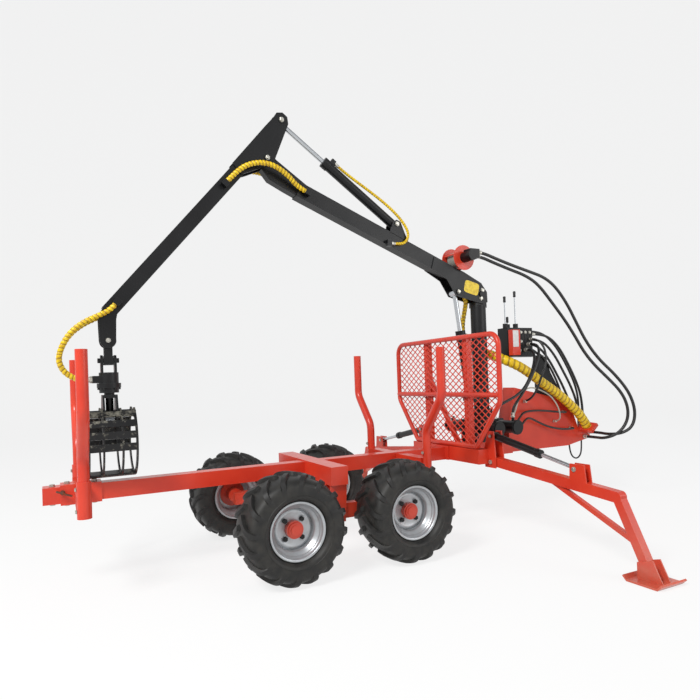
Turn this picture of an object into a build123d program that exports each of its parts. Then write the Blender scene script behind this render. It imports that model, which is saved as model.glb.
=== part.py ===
"""Log trailer with a loading crane: a spine frame on four bogie wheels, with outriggers and a grapple.

Millimetres. +X forward to the tow eye, +Y left, +Z up. The origin is on the ground, at mid-length.
"""
import math
import os

from build123d import *

# Overall
OVERALL_LENGTH = 4640.0
TAIL_X = -OVERALL_LENGTH / 2
NOSE_X = OVERALL_LENGTH / 2
RUN_GAP = 0.3          # clearance between a turning piece and its seat
PIN_GAP = 0.05         # radial clearance of a pin in its bore
SIDE_GAP = 4.0         # side clearance of an arm in its fork

# Wheels and bogie
BOGIE_X = -608.0
WHEELBASE = 805.0
TRACK = 1256.0
TYRE_D = 660.0
TYRE_W = 312.0
TYRE_FACETS = 40
CROWN_R = 308.0
# One half of the carcass: share of the half width, depth below the crown
TYRE_SIDE = [(0.0, 0.0), (0.62, 4.0), (0.86, 18.0), (0.98, 48.0), (1.0, 82.0), (0.93, 118.0)]
LUGS = 16              # on each half of the tread
LUG_W = 30.0
LUG_SLANT = 32.0
LUG_REACH = 50.0       # how far a lug's corner is from the plane through its middle
# One lug: share of the half width, height over the crown (None: up to the tyre's radius)
LUG_SIDE = [(0.06, -14.0), (0.06, None), (0.62, None), (0.90, 2.0), (1.01, -44.0), (0.90, -50.0)]
RIM_D = 346.0
RIM_W = 250.0
RIM_WALL = 6.0
HUB_D = 105.0
HUB_BOLT_PCD = 150.0
STUD_D = 16.0
AXLE_D = 50.0
AXLE_Z = TYRE_D / 2
BOGIE_BEAM_INSET = 203.0       # from the tyre's middle to the beam's
BOGIE_BEAM_Y = TRACK / 2 - BOGIE_BEAM_INSET
BOGIE_BEAM_W = 60.0
BOGIE_BEAM_H = 112.0
BOGIE_PIN_D = 60.0

# Spine and cross members
SPINE_SIZE = 100.0
SPINE_WALL = 6.0
SPINE_Z = 575.0
SPINE_TOP = SPINE_Z + SPINE_SIZE / 2
SPINE_END_X = 560.0
CROSS_SIZE = 120.0
CROSS_OVERHANG = 65.0   # past the bogie beam's middle
CROSS_HALF = BOGIE_BEAM_Y + CROSS_OVERHANG
DROP_PLATE_T = 12.0

# Bunks and stakes
REAR_STAKE_X = TAIL_X + 207.0
FRONT_STAKE_X = 134.0
STAKE_Y = 411.0
STAKE_OUT = 200.0
STAKE_D = 62.0
STAKE_WALL = 5.0
STAKE_BEND_LOW = 815.0
STAKE_BEND_HIGH = 1060.0
STAKE_TOP = 1402.0
STAKE_FOOT = 495.0
SOCKET_D = 76.0
SOCKET_H = 200.0
BUNK_H = 80.0
BUNK_W = 80.0
SLEEVE_SIZE = 120.0
SLEEVE_LENGTH = 225.0
SLEEVE_END_X = TAIL_X + 94.0

# Headboard and front beam
HEAD_X = 600.0
HEAD_TUBE_D = 38.0
HEAD_HALF_TOP = 675.0
HEAD_HALF_FOOT = 400.0
HEAD_TOP_Z = 1497.0
HEAD_MID_Z = 1050.0
HEAD_SHOULDER_Z = 1000.0
HEAD_CORNER_R = 90.0
HEAD_POST_Y = 265.0
HEAD_POST_SIZE = 50.0
HEAD_BRACE_X = 800.0
HEAD_BRACE_Z = 1214.0
MESH_BACK = 7.0        # the mid rail is this far behind the frame's middle, to clear the mesh
MESH_T = 3.0
MESH_STRIP = 7.0
MESH_SLOPE = 26.3
MESH_RISE = 37.0
MESH_INSET = 14.0
SHORTEST_STRIP = 1200.0     # cubic millimetres; shorter corner scraps are left out
BEAM_X = 630.0
BEAM_W = 100.0
BEAM_H = 110.0
BEAM_Z = 580.0
BEAM_HALF = 440.0
BEAM_TOP = BEAM_Z + BEAM_H / 2

# Outriggers
OUT_X = 724.0
OUT_PIVOT_Y = 463.0
OUT_PIVOT_Z = 540.0
OUT_ARM_W = 56.0
OUT_FORK_HALF = 34.0    # half the clear width between a tower's plates
OUT_ARM_H = 68.0
OUT_KNEE_Y = 1530.0
OUT_KNEE_Z = 446.0
OUT_FOOT_Y = 1738.0
FOOT_X = 220.0
FOOT_Y = 190.0
FOOT_T = 12.0
OUT_PIN_D = 36.0
OUT_CYL_BASE_Z = 733.0
OUT_CYL_EYE_Y = 1227.0
OUT_CYL_EYE_Z = 575.0
OUT_BARREL_L = 470.0
OUT_BARREL_D = 54.0
OUT_ROD_D = 28.0
TOWER_T = 10.0

# Crane
COLUMN_X = 992.0
COLUMN_D = 130.0
SLEW_BASE_Z = 640.0
SLEW_TOP_Z = 890.0
SLEW_TUBE_D = 104.0
SLEW_TUBE_HALF = 330.0
SLEW_TUBE_X = 96.0
SLEW_TUBE_Z = 765.0
BOOM_PIVOT_Z = 1880.0
BOOM_PIN_D = 50.0
BOOM_W = 90.0
BOOM_H = 110.0
BOOM_PLATE_T = 8.0
BOOM_ROOT = (680.0, 2055.0)
BOOM_NOSE = (-640.0, 2578.0)
ELBOW = (-870.0, 2770.0)
ELBOW_PIN_D = 44.0
KNUCKLE_W = 64.0
LIFT_BASE = (872.0, 1020.0)
LIFT_EYE = (748.0, 1893.0)
LIFT_BARREL_D = 72.0
LIFT_BARREL_L = 560.0
LIFT_ROD_D = 40.0
STICK_BASE = (176.0, 2401.0)
STICK_EYE = (-756.0, 3056.0)
STICK_BARREL_D = 70.0
STICK_BARREL_L = 730.0
STICK_ROD_D = 34.0
STICK_W = 72.0
STICK_H = 92.0
STICK_HEAD_T = 10.0
TIP = (-1938.0, 1490.0)
STICK_SLOPE = 49.5
TIP_PIN_D = 36.0

# Winch on the boom's root
WINCH = (797.0, 2172.0)
WINCH_FLANGE_D = 206.0
WINCH_HALF = 76.0
WINCH_PLATE_T = 6.0
DRUM_D = 120.0
WINCH_SHAFT_D = 30.0
MOTOR_D = 84.0
MOTOR_L = 118.0

# Grapple, from the tip pin down
LINK_PIN_Z = -122.0
LINK_T = 12.0
ROTATOR_TOP = -196.0
ROTATOR_FOOT = -322.0
ROTATOR_D = 140.0
SHAFT_D = 60.0
JAW_PIVOT_Y = 72.0
JAW_PIVOT_Z = -446.0
JAW_PIN_D = 30.0
JAW_CENTRE_Z = -617.0
JAW_R = 221.0
JAW_DEPTH = 40.0
JAW_HALF = 137.0
JAW_PLATE_T = 10.0
# Slats: angle round the jaw's curve from level, width, thickness; the last is the tip's blade
JAW_SLATS = [(50.0, 44.0, 8.0), (31.0, 44.0, 8.0), (12.0, 44.0, 8.0), (-7.0, 44.0, 8.0),
             (-77.0, 82.0, 10.0)]
NECK_HALF = 44.0

# Drawbar, crane base and valve stand
BASE_HALF = 110.0
DRAW_HALF = 70.0
DRAW_FOOT_Z = 528.0
NOSE_TOP_Z = 680.0
EYE_D = 110.0
# The top edge: X, Z
DRAW_TOP = [(1222.0, 760.0), (1300.0, 1080.0), (NOSE_X - 360.0, 930.0), (NOSE_X - 260.0, NOSE_TOP_Z),
            (NOSE_X - EYE_D, NOSE_TOP_Z)]
EYE_BORE = 40.0
EYE_T = 40.0
EYE_Z = 630.0
VALVE_START_X = 1255.0
VALVE_END_X = 1540.0
VALVE_FOOT_Z = 1356.0
VALVE_TOP_Z = 1600.0
VALVE_HALF_Y = 70.0
VALVE_SPOOLS = 6
# Levers: X, Y, height of the grip's top
LEVERS = [(1262.0, -30.0, 1875.0), (1378.0, -30.0, 1925.0), (1332.0, 20.0, 1704.0)]
STAND_X = (1640.0, 1720.0, 1880.0)     # the post's rear edge, its front edge at the top and at the foot
STAND_HALF = 30.0


def side_plate(points, y_low, y_high):
    """A plate with an outline of (X, Z) points, from one Y to the other."""
    face = make_face(Polyline(*points, close=True))
    plane = Plane(origin=(0, y_high, 0), x_dir=(1, 0, 0), z_dir=(0, -1, 0))
    return extrude(plane * face, amount=y_high - y_low)


def cross_plate(points, x_low, x_high):
    """A plate with an outline of (Y, Z) points, from one X to the other."""
    face = make_face(Polyline(*points, close=True))
    plane = Plane(origin=(x_low, 0, 0), x_dir=(0, 1, 0), z_dir=(1, 0, 0))
    return extrude(plane * face, amount=x_high - x_low)


def rod_between(start, end, diameter):
    """A round bar from one point to another."""
    along = Vector(*end) - Vector(*start)
    plane = Plane(origin=start, z_dir=along)
    return extrude(plane * Circle(diameter / 2), amount=along.length)


def pin_y(x, z, diameter, y_low, y_high):
    """A round bar along Y."""
    return rod_between((x, y_low, z), (x, y_high, z), diameter)


def pin_x(y, z, diameter, x_low, x_high):
    """A round bar along X."""
    return rod_between((x_low, y, z), (x_high, y, z), diameter)


def box(x_low, x_high, y_low, y_high, z_low, z_high):
    """A block between two corners."""
    centre = ((x_low + x_high) / 2, (y_low + y_high) / 2, (z_low + z_high) / 2)
    return Pos(*centre) * Box(x_high - x_low, y_high - y_low, z_high - z_low)


def beam_xz(start, end, width, height):
    """A rectangular bar in the X-Z plane, from one (X, Z) point to another."""
    first = Vector(start[0], 0, start[1])
    along = Vector(end[0], 0, end[1]) - first
    plane = Plane(origin=first, x_dir=(0, 1, 0), z_dir=along)
    return extrude(plane * Rectangle(width, height), amount=along.length)


def beam_yz(x, start, end, width, height):
    """A rectangular bar in a Y-Z plane, from one (Y, Z) point to another."""
    first = Vector(x, start[0], start[1])
    along = Vector(x, end[0], end[1]) - first
    plane = Plane(origin=first, x_dir=(1, 0, 0), z_dir=along)
    return extrude(plane * Rectangle(width, height), amount=along.length)


def bent_tube(points, diameter, radius, wall=0.0):
    """A tube along straight runs with a bend of one radius at each corner."""
    path = FilletPolyline(*points, radius=radius)
    plane = Plane(origin=points[0], z_dir=Vector(*points[1]) - Vector(*points[0]))
    section = Circle(diameter / 2)
    if wall:
        section -= Circle(diameter / 2 - wall)
    return sweep(plane * section, path=path)


def mirror_y(solid):
    """The same piece on the other side of the trailer."""
    return mirror(solid, about=Plane.XZ)


def between(start, end, share):
    """The point at a share of the way from one to the other."""
    return tuple(a + share * (b - a) for a, b in zip(start, end))


# Chassis

def spine():
    """The main square tube, open at the tail, with the flange to the front beam."""
    length = SPINE_END_X - TAIL_X
    tube = Box(length, SPINE_SIZE, SPINE_SIZE)
    inside = SPINE_SIZE - 2 * SPINE_WALL
    tube -= Box(length, inside, inside)
    tube = Pos((TAIL_X + SPINE_END_X) / 2, 0, SPINE_Z) * tube
    flange_half = SPINE_SIZE / 2 + 35
    flange = box(SPINE_END_X, BEAM_X - BEAM_W / 2, -flange_half, flange_half,
                 BEAM_Z - BEAM_H / 2, BEAM_TOP)
    return tube + flange


def stakes(x):
    """A pair of stake pipes that lean out above the load's foot."""
    leaning = (x, -STAKE_Y - STAKE_OUT, STAKE_BEND_HIGH)
    points = [(x, -STAKE_Y, STAKE_FOOT), (x, -STAKE_Y, STAKE_BEND_LOW), leaning,
              (x, -STAKE_Y - STAKE_OUT, STAKE_TOP)]
    near = bent_tube(points, STAKE_D, 2.0 * STAKE_D, STAKE_WALL)
    return near, mirror_y(near)


def stake_socket(x):
    """The pipe that a stake's foot stands in."""
    foot = (x, -STAKE_Y, STAKE_FOOT)
    head = (x, -STAKE_Y, STAKE_FOOT + SOCKET_H)
    socket = rod_between(foot, head, SOCKET_D)
    return socket - rod_between(foot, head, STAKE_D)


def rear_bunk():
    """A sleeve round the spine with a cross bar and two stake sockets."""
    sleeve = Box(SLEEVE_LENGTH, SLEEVE_SIZE, SLEEVE_SIZE)
    sleeve -= Box(SLEEVE_LENGTH, SPINE_SIZE, SPINE_SIZE)
    sleeve = Pos(SLEEVE_END_X + SLEEVE_LENGTH / 2, 0, SPINE_Z) * sleeve
    reach = STAKE_Y - STAKE_D / 2 - 2
    bar = box(REAR_STAKE_X - BUNK_W / 2, REAR_STAKE_X + BUNK_W / 2, -reach, -SLEEVE_SIZE / 2,
              SPINE_Z - BUNK_H / 2, SPINE_Z + BUNK_H / 2)
    foot = (REAR_STAKE_X, -STAKE_Y, 0)
    bar -= rod_between(foot, (REAR_STAKE_X, -STAKE_Y, SPINE_Z + BUNK_H), STAKE_D)
    side = bar + stake_socket(REAR_STAKE_X)
    return sleeve + side + mirror_y(side)


def front_bunk():
    """The cross bar on the spine in front of the wheels, with its stakes welded in."""
    half_w = BUNK_W / 2
    reach = STAKE_Y - STAKE_D / 2 + STAKE_WALL
    low = SPINE_Z - BUNK_H / 2
    high = SPINE_Z + BUNK_H / 2
    bar = box(FRONT_STAKE_X - half_w, FRONT_STAKE_X + half_w, -reach, -SPINE_SIZE / 2, low, high)
    near, far = stakes(FRONT_STAKE_X)
    return bar + near + mirror_y(bar) + far


def bogie_crossbeam():
    """The box across the spine, with drop plates that hold the bogie pins at its ends."""
    half = CROSS_SIZE / 2
    beam = box(BOGIE_X - half, BOGIE_X + half, -CROSS_HALF, CROSS_HALF,
               SPINE_Z - half, SPINE_Z + half)
    slot = SPINE_SIZE / 2
    beam -= box(BOGIE_X - half, BOGIE_X + half, -slot, slot, SPINE_Z - slot, SPINE_Z + slot)
    beam_half = BOGIE_BEAM_W / 2
    plate_low = AXLE_Z - BOGIE_PIN_D
    outline = [(BOGIE_X - half, SPINE_Z - half), (BOGIE_X + half, SPINE_Z - half),
               (BOGIE_X + 0.75 * half, plate_low), (BOGIE_X - 0.75 * half, plate_low)]
    near = Part()
    for inner in (BOGIE_BEAM_Y - beam_half - DROP_PLATE_T, BOGIE_BEAM_Y + beam_half):
        near += side_plate(outline, -inner - DROP_PLATE_T, -inner)
    near -= pin_y(BOGIE_X, AXLE_Z, BOGIE_PIN_D, -CROSS_HALF, 0)
    return beam + near + mirror_y(near)


def bogie_beam():
    """A walking beam on the right side, with its pin and two stub axles."""
    half = BOGIE_BEAM_W / 2
    end = WHEELBASE / 2
    profile = [(BOGIE_X - end - 45, AXLE_Z - 42), (BOGIE_X + end + 45, AXLE_Z - 42),
               (BOGIE_X + end + 45, AXLE_Z + 42), (BOGIE_X + 140, AXLE_Z + BOGIE_BEAM_H / 2),
               (BOGIE_X - 140, AXLE_Z + BOGIE_BEAM_H / 2), (BOGIE_X - end - 45, AXLE_Z + 42)]
    beam = side_plate(profile, -BOGIE_BEAM_Y - half, -BOGIE_BEAM_Y + half)
    pin_end = half + DROP_PLATE_T + 6
    beam += pin_y(BOGIE_X, AXLE_Z, BOGIE_PIN_D, -BOGIE_BEAM_Y - pin_end, -BOGIE_BEAM_Y + pin_end)
    for side in (-1, 1):
        x = BOGIE_X + side * end
        beam += pin_y(x, AXLE_Z, AXLE_D, -TRACK / 2 - 60, -BOGIE_BEAM_Y)
        beam += pin_y(x, AXLE_Z, AXLE_D + 24, -BOGIE_BEAM_Y - half - 20, -BOGIE_BEAM_Y)
    return beam


# Wheels: each is made at the origin about the Y axis, outer face towards -Y

def faceted_ring(outline, facets):
    """A closed ring of flat facets: an outline of (radius, Y) points carried round the Y axis."""
    rings = []
    for index in range(facets):
        turn = 2 * math.pi * index / facets
        rings.append([(r * math.cos(turn), y, r * math.sin(turn)) for r, y in outline])
    faces = []
    for first, second in zip(rings, rings[1:] + rings[:1]):
        corners = zip(first, first[1:] + first[:1], second[1:] + second[:1], second)
        for quad in corners:
            faces.append(Face(Wire.make_polygon(quad)))
    return Solid(Shell(faces))


def tyre():
    """A balloon tyre of flat facets, with slanted lugs fused to both halves of its tread."""
    half = TYRE_W / 2
    bead = (RIM_D / 2 - 10) / math.cos(math.pi / TYRE_FACETS)
    bead_y = RIM_W / 2 - RIM_WALL - 3
    side = [(CROWN_R - drop, share * half) for share, drop in TYRE_SIDE]
    side += [(bead + 14, bead_y), (bead, bead_y)]
    outline = side + [(r, -y) for r, y in reversed(side[1:])]
    carcass = faceted_ring(outline, TYRE_FACETS)
    top = math.sqrt((TYRE_D / 2) ** 2 - LUG_REACH ** 2)
    points = []
    for share, height in LUG_SIDE:
        points.append((share * half, top if height is None else CROWN_R + height))
    middle = half / 2
    bar = extrude(Plane.YZ * make_face(Polyline(*points, close=True)), amount=LUG_W / 2, both=True)
    bar = Pos(0, middle, 0) * Rot(0, 0, LUG_SLANT) * Pos(0, -middle, 0) * bar
    other = mirror_y(bar)
    lugs = []
    for index in range(LUGS):
        turn = 360 * index / LUGS
        lugs.append(Rot(0, turn, 0) * bar)
        lugs.append(Rot(0, turn + 180 / LUGS, 0) * other)
    return carcass.fuse(*[lug.solid() for lug in lugs])


def rim():
    """A dished steel rim with a bolted centre."""
    flange = RIM_D / 2
    seat = RIM_D / 2 - 10 - RUN_GAP
    half = RIM_W / 2
    wall = RIM_WALL
    well = seat - 34
    outline = [(flange, -half), (seat - wall, -half), (seat - wall, -half + 40), (well - wall, -half + 62),
               (well - wall, half - 62), (seat - wall, half - 40), (seat - wall, half), (flange, half),
               (flange, half - wall), (seat, half - wall), (seat, half - 38), (well, half - 58),
               (well, -half + 58), (seat, -half + 38), (seat, -half + wall), (flange, -half + wall)]
    barrel = revolve(make_face(Polyline(*outline, close=True)), axis=Axis.Y)
    disc_y = -half + 88
    disc = rod_between((0, disc_y, 0), (0, disc_y + 10, 0), 2 * (well - wall / 2))
    disc -= rod_between((0, disc_y, 0), (0, disc_y + 10, 0), HUB_D + 2 * RUN_GAP)
    for turn in (45, 135, 225, 315):
        x = HUB_BOLT_PCD / 2 * math.cos(math.radians(turn))
        z = HUB_BOLT_PCD / 2 * math.sin(math.radians(turn))
        disc -= rod_between((x, disc_y, z), (x, disc_y + 10, z), STUD_D + 2 * RUN_GAP)
    return barrel + disc


def hub():
    """The hub on the stub axle, with its flange behind the rim's disc, cap and wheel nuts."""
    disc_y = -RIM_W / 2 + 88
    flange_d = HUB_BOLT_PCD + 40
    body = rod_between((0, disc_y + 10, 0), (0, disc_y + 24, 0), flange_d)
    body += rod_between((0, disc_y - 34, 0), (0, disc_y + 120, 0), HUB_D)
    for start, end, narrower in ((-42, -34, 22), (-48, -42, 48)):
        body += rod_between((0, disc_y + start, 0), (0, disc_y + end, 0), HUB_D - narrower)
    body -= rod_between((0, disc_y + 24, 0), (0, disc_y + 120, 0), AXLE_D + 2 * PIN_GAP)
    body -= rod_between((0, -62, 0), (0, disc_y + 24, 0), AXLE_D + 2 * PIN_GAP)
    for turn in (45, 135, 225, 315):
        x = HUB_BOLT_PCD / 2 * math.cos(math.radians(turn))
        z = HUB_BOLT_PCD / 2 * math.sin(math.radians(turn))
        body += rod_between((x, disc_y - 14, z), (x, disc_y, z), 24)
        body += rod_between((x, disc_y, z), (x, disc_y + 12, z), STUD_D)
    return body


# Front frame

def headboard_frame():
    """A bent pipe frame with a mid rail, and two posts with braces down to the crane's base."""
    foot_z = BEAM_TOP + HEAD_TUBE_D / 2
    half = HEAD_HALF_TOP
    foot = HEAD_HALF_FOOT
    points = [(HEAD_X, -foot, foot_z), (HEAD_X, -half, HEAD_SHOULDER_Z), (HEAD_X, -half, HEAD_TOP_Z),
              (HEAD_X, half, HEAD_TOP_Z), (HEAD_X, half, HEAD_SHOULDER_Z), (HEAD_X, foot, foot_z)]
    frame = bent_tube(points, HEAD_TUBE_D, HEAD_CORNER_R)
    frame += rod_between((HEAD_X, -foot, foot_z), (HEAD_X, foot, foot_z), HEAD_TUBE_D)
    rail_x = HEAD_X - MESH_BACK
    frame += rod_between((rail_x, -half, HEAD_MID_Z), (rail_x, half, HEAD_MID_Z), HEAD_TUBE_D)
    post = HEAD_POST_SIZE / 2
    start = HEAD_X + HEAD_TUBE_D / 2 + 1
    near = box(start, start + 2 * post, -HEAD_POST_Y - post, -HEAD_POST_Y + post, BEAM_TOP, HEAD_TOP_Z - 4)
    top = Vector(start + post, -HEAD_POST_Y, HEAD_BRACE_Z)
    end = Vector(HEAD_BRACE_X, -BASE_HALF + 20, SLEW_BASE_Z)
    along = (end - top).normalized()
    brace = extrude(Plane(origin=top, x_dir=(0, 0, 1), z_dir=along) * Rectangle(40, 40), amount=700)
    brace -= box(start - 100, COLUMN_X, -400, 200, 0, SLEW_BASE_Z)
    near += brace
    return Compound(children=[frame, near, mirror_y(near)])


def headboard_mesh():
    """Expanded mesh as two layers of straight strips, cut to the inside of the pipe frame."""
    half = HEAD_HALF_TOP
    foot_z = BEAM_TOP + HEAD_TUBE_D / 2
    corners = [(-HEAD_HALF_FOOT, foot_z), (-half, HEAD_SHOULDER_Z), (-half, HEAD_TOP_Z)]
    corners += [(-y, z) for y, z in reversed(corners)]
    inside = offset(make_face(Polyline(*corners, close=True)), amount=-MESH_INSET)
    bends = inside.vertices().sort_by(Axis.Y)[2:]
    inside = fillet(bends, HEAD_CORNER_R - MESH_INSET)
    top = HEAD_TOP_Z
    strips = []
    for slope, low in ((MESH_SLOPE, HEAD_X + 13.0), (-MESH_SLOPE, HEAD_X + 13.3 + MESH_T)):
        plane = Plane(origin=(low, 0, 0), x_dir=(0, 1, 0), z_dir=(1, 0, 0))
        window = extrude(plane * inside, amount=MESH_T)
        rise = math.tan(math.radians(slope))
        reach = abs(rise) * half
        z = HEAD_MID_Z + HEAD_TUBE_D / 2 - MESH_RISE * round((HEAD_MID_Z + reach - foot_z) / MESH_RISE)
        while z < top + reach:
            start = (-half, z - rise * half)
            end = (half, z + rise * half)
            strip = beam_yz(low + MESH_T / 2, start, end, MESH_T, MESH_STRIP)
            for piece in (strip & window).solids():
                if piece.volume > SHORTEST_STRIP:
                    strips.append(piece)
            z += MESH_RISE
    return Compound(children=strips)


def front_beam():
    """The cross tube under the headboard, with a two-plate tower for the outrigger at each end."""
    half_w = BEAM_W / 2
    beam = box(BEAM_X - half_w, BEAM_X + half_w, -BEAM_HALF, BEAM_HALF, BEAM_Z - BEAM_H / 2, BEAM_TOP)
    inner = OUT_FORK_HALF
    tower = Part()
    foot = OUT_PIVOT_Z - 45
    top = OUT_CYL_BASE_Z + 38
    outline = [(-OUT_PIVOT_Y + 70, foot), (-OUT_PIVOT_Y - 45, foot), (-OUT_PIVOT_Y - 45, OUT_PIVOT_Z + 45),
               (-OUT_PIVOT_Y - 30, top), (-OUT_PIVOT_Y + 30, top), (-OUT_PIVOT_Y + 90, OUT_PIVOT_Z + 60)]
    for low in (OUT_X - inner - TOWER_T, OUT_X + inner):
        tower += cross_plate(outline, low, low + TOWER_T)
    web_y = -OUT_PIVOT_Y + 58
    tower += box(OUT_X - inner, OUT_X + inner, web_y, web_y + TOWER_T, foot, OUT_PIVOT_Z + 40)
    tower -= pin_x(-OUT_PIVOT_Y, OUT_PIVOT_Z, OUT_PIN_D + 2 * PIN_GAP, OUT_X - 60, OUT_X + 60)
    tower -= pin_x(-OUT_PIVOT_Y, OUT_CYL_BASE_Z, OUT_PIN_D - 8 + 2 * PIN_GAP, OUT_X - 60, OUT_X + 60)
    return beam + tower + mirror_y(tower)


def crane_base():
    """The box from the front beam to the drawbar that carries the slew unit."""
    start = BEAM_X + BEAM_W / 2
    end = COLUMN_X + 230
    outline = [(start, BEAM_Z - BEAM_H / 2), (end, BEAM_Z - BEAM_H / 2), (end, SLEW_BASE_Z),
               (start, SLEW_BASE_Z)]
    base = side_plate(outline, -BASE_HALF, BASE_HALF)
    half = BASE_HALF - 10
    base -= box(start, end, -half, half, BEAM_Z - BEAM_H / 2 + 10, SLEW_BASE_Z - 14)
    return base


def draw_top_z(x):
    """The height of the drawbar's top edge."""
    for (x0, z0), (x1, z1) in zip(DRAW_TOP, DRAW_TOP[1:]):
        if x0 <= x <= x1:
            return z0 + (z1 - z0) * (x - x0) / (x1 - x0)
    return DRAW_TOP[-1][1]


def drawbar():
    """The welded, tapered box that runs forward to the tow eye."""
    start = COLUMN_X + 230
    outline = [(start, DRAW_FOOT_Z), (start + 700, DRAW_FOOT_Z), (NOSE_X - EYE_D, EYE_Z - 50)]
    outline += list(reversed(DRAW_TOP))
    bar = side_plate(outline, -DRAW_HALF, DRAW_HALF)
    end = Vector(*TRUNK_ROUTE[-1])
    along = (end - Vector(*TRUNK_ROUTE[-2])).normalized()
    plane = Plane(origin=end + along * RUN_GAP, x_dir=(0, 1, 0), z_dir=along)
    bar += extrude(plane * Rectangle(2 * (abs(end.Y) - DRAW_HALF + 30), TRUNK_D + 20), amount=30)
    eye_x = NOSE_X - EYE_D / 2
    eye = rod_between((eye_x, 0, EYE_Z - EYE_T / 2), (eye_x, 0, EYE_Z + EYE_T / 2), EYE_D)
    eye += box(NOSE_X - EYE_D - 30, eye_x, -35, 35, EYE_Z - EYE_T / 2, EYE_Z + EYE_T / 2)
    eye -= rod_between((eye_x, 0, EYE_Z - EYE_T), (eye_x, 0, EYE_Z + EYE_T), EYE_BORE)
    return bar + eye


def valve_stand():
    """The gusset-shaped post on the drawbar, the plate that it carries the valve on, and a tool box."""
    rear, top_front, foot_front = STAND_X
    low = VALVE_FOOT_Z - 10
    outline = [(rear, draw_top_z(rear)), (foot_front, draw_top_z(foot_front)), (top_front, low),
               (rear, low)]
    post = side_plate(outline, -STAND_HALF, STAND_HALF)
    plate = box(VALVE_START_X, rear + 20, -VALVE_HALF_Y, VALVE_HALF_Y, low, VALVE_FOOT_Z)
    near = -VALVE_HALF_Y - 50
    case = box(VALVE_START_X, VALVE_START_X + 88, near, -VALVE_HALF_Y, low, VALVE_FOOT_Z + 222)
    return post + plate + case


def valve_block():
    """The bank of spool valves."""
    half_y = VALVE_HALF_Y
    block = box(VALVE_START_X, VALVE_END_X, -half_y + 8, half_y - 8, VALVE_FOOT_Z, VALVE_TOP_Z)
    pitch = (VALVE_END_X - VALVE_START_X - 100) / VALVE_SPOOLS
    for index in range(VALVE_SPOOLS):
        low = VALVE_START_X + 95 + index * pitch
        block += box(low, low + pitch - 5, -half_y, half_y, VALVE_FOOT_Z + 16, VALVE_TOP_Z - 30)
    for x, y, top in LEVERS:
        block += rod_between((x, y, VALVE_TOP_Z - 5), (x, y, VALVE_TOP_Z + 36), 44)
    return block


def valve_levers():
    """Hand levers with round grips."""
    levers = []
    for x, y, top in LEVERS:
        stem = rod_between((x, y, VALVE_TOP_Z + 36), (x, y, top - 48), 11)
        grip = rod_between((x, y, top - 52), (x, y, top), 24)
        levers.append(stem + grip)
    return Compound(children=levers)


# Outriggers, modelled on the right side

def outrigger():
    """Arm, cranked leg, brace, foot plate and the lug for the cylinder."""
    pivot = (-OUT_PIVOT_Y, OUT_PIVOT_Z)
    knee = (-OUT_KNEE_Y, OUT_KNEE_Z)
    foot = (-OUT_FOOT_Y, FOOT_T)
    arm = beam_yz(OUT_X, pivot, knee, OUT_ARM_W, OUT_ARM_H)
    arm += pin_x(pivot[0], pivot[1], OUT_ARM_H, OUT_X - OUT_ARM_W / 2, OUT_X + OUT_ARM_W / 2)
    arm += pin_x(knee[0], knee[1], OUT_ARM_H, OUT_X - OUT_ARM_W / 2, OUT_X + OUT_ARM_W / 2)
    arm += beam_yz(OUT_X, knee, foot, OUT_ARM_W, 0.8 * OUT_ARM_H)
    arm -= box(OUT_X - 200, OUT_X + 200, -OUT_FOOT_Y - 200, -OUT_FOOT_Y + 200, -100, FOOT_T)
    brace_start = between(pivot, knee, 0.47)
    brace_end = between(knee, foot, 0.58)
    arm += beam_yz(OUT_X, brace_start, brace_end, 30, 30)
    arm += box(OUT_X - FOOT_X / 2, OUT_X + FOOT_X / 2, -OUT_FOOT_Y - FOOT_Y / 2, -OUT_FOOT_Y + FOOT_Y / 2,
               0, FOOT_T)
    edge = 26
    for side in (-1, 1):
        y = -OUT_FOOT_Y + side * FOOT_Y / 2
        lip = [(y, FOOT_T), (y, 0), (y + side * edge, edge), (y + side * (edge - 8), edge + 8)]
        arm += cross_plate(lip, OUT_X - FOOT_X / 2, OUT_X + FOOT_X / 2)
    foot_y = -OUT_FOOT_Y
    gusset = [(foot_y - 78, FOOT_T), (foot_y + 78, FOOT_T), (foot_y + 78, 100), (foot_y - 20, 130)]
    for low in (OUT_X - OUT_ARM_W / 2 - 8, OUT_X + OUT_ARM_W / 2):
        arm += cross_plate(gusset, low, low + 8)
    eye = OUT_CYL_EYE_Y
    eye_z = OUT_CYL_EYE_Z
    lug = [(-eye - 95, eye_z - 90), (-eye + 40, eye_z - 90), (-eye + 34, eye_z + 34), (-eye - 80, eye_z + 34)]
    for low in (OUT_X - OUT_ARM_W / 2, OUT_X + OUT_ARM_W / 2 - 8):
        arm += cross_plate(lug, low, low + 8)
    reach = OUT_FORK_HALF + TOWER_T + 8
    arm += pin_x(pivot[0], pivot[1], OUT_PIN_D, OUT_X - reach, OUT_X + reach)
    return arm


def cylinder_barrel(base, eye, length, diameter, eye_d, eye_w, bore, rod_d):
    """A barrel from its base eye towards the rod's eye: a tube with a gland, and a bored foot."""
    first = Vector(*base)
    along = (Vector(*eye) - first).normalized()
    start = first + along * (0.35 * eye_d)
    end = first + along * length
    gland = end - along * (0.75 * diameter)
    barrel = rod_between(tuple(start), tuple(end), diameter)
    barrel += rod_between(tuple(gland), tuple(end), 1.16 * diameter)
    across = Vector(0, 1, 0) if abs(along.Y) < 0.1 else Vector(1, 0, 0)
    side = across * (eye_w / 2)
    barrel += rod_between(tuple(first - side), tuple(first + side), eye_d)
    inside = first + along * (eye_d / 2 + 20)
    barrel -= rod_between(tuple(inside), tuple(end + along), rod_d + 2 * RUN_GAP)
    if bore:
        barrel -= rod_between(tuple(first - side * 1.2), tuple(first + side * 1.2), bore)
    return barrel


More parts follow.
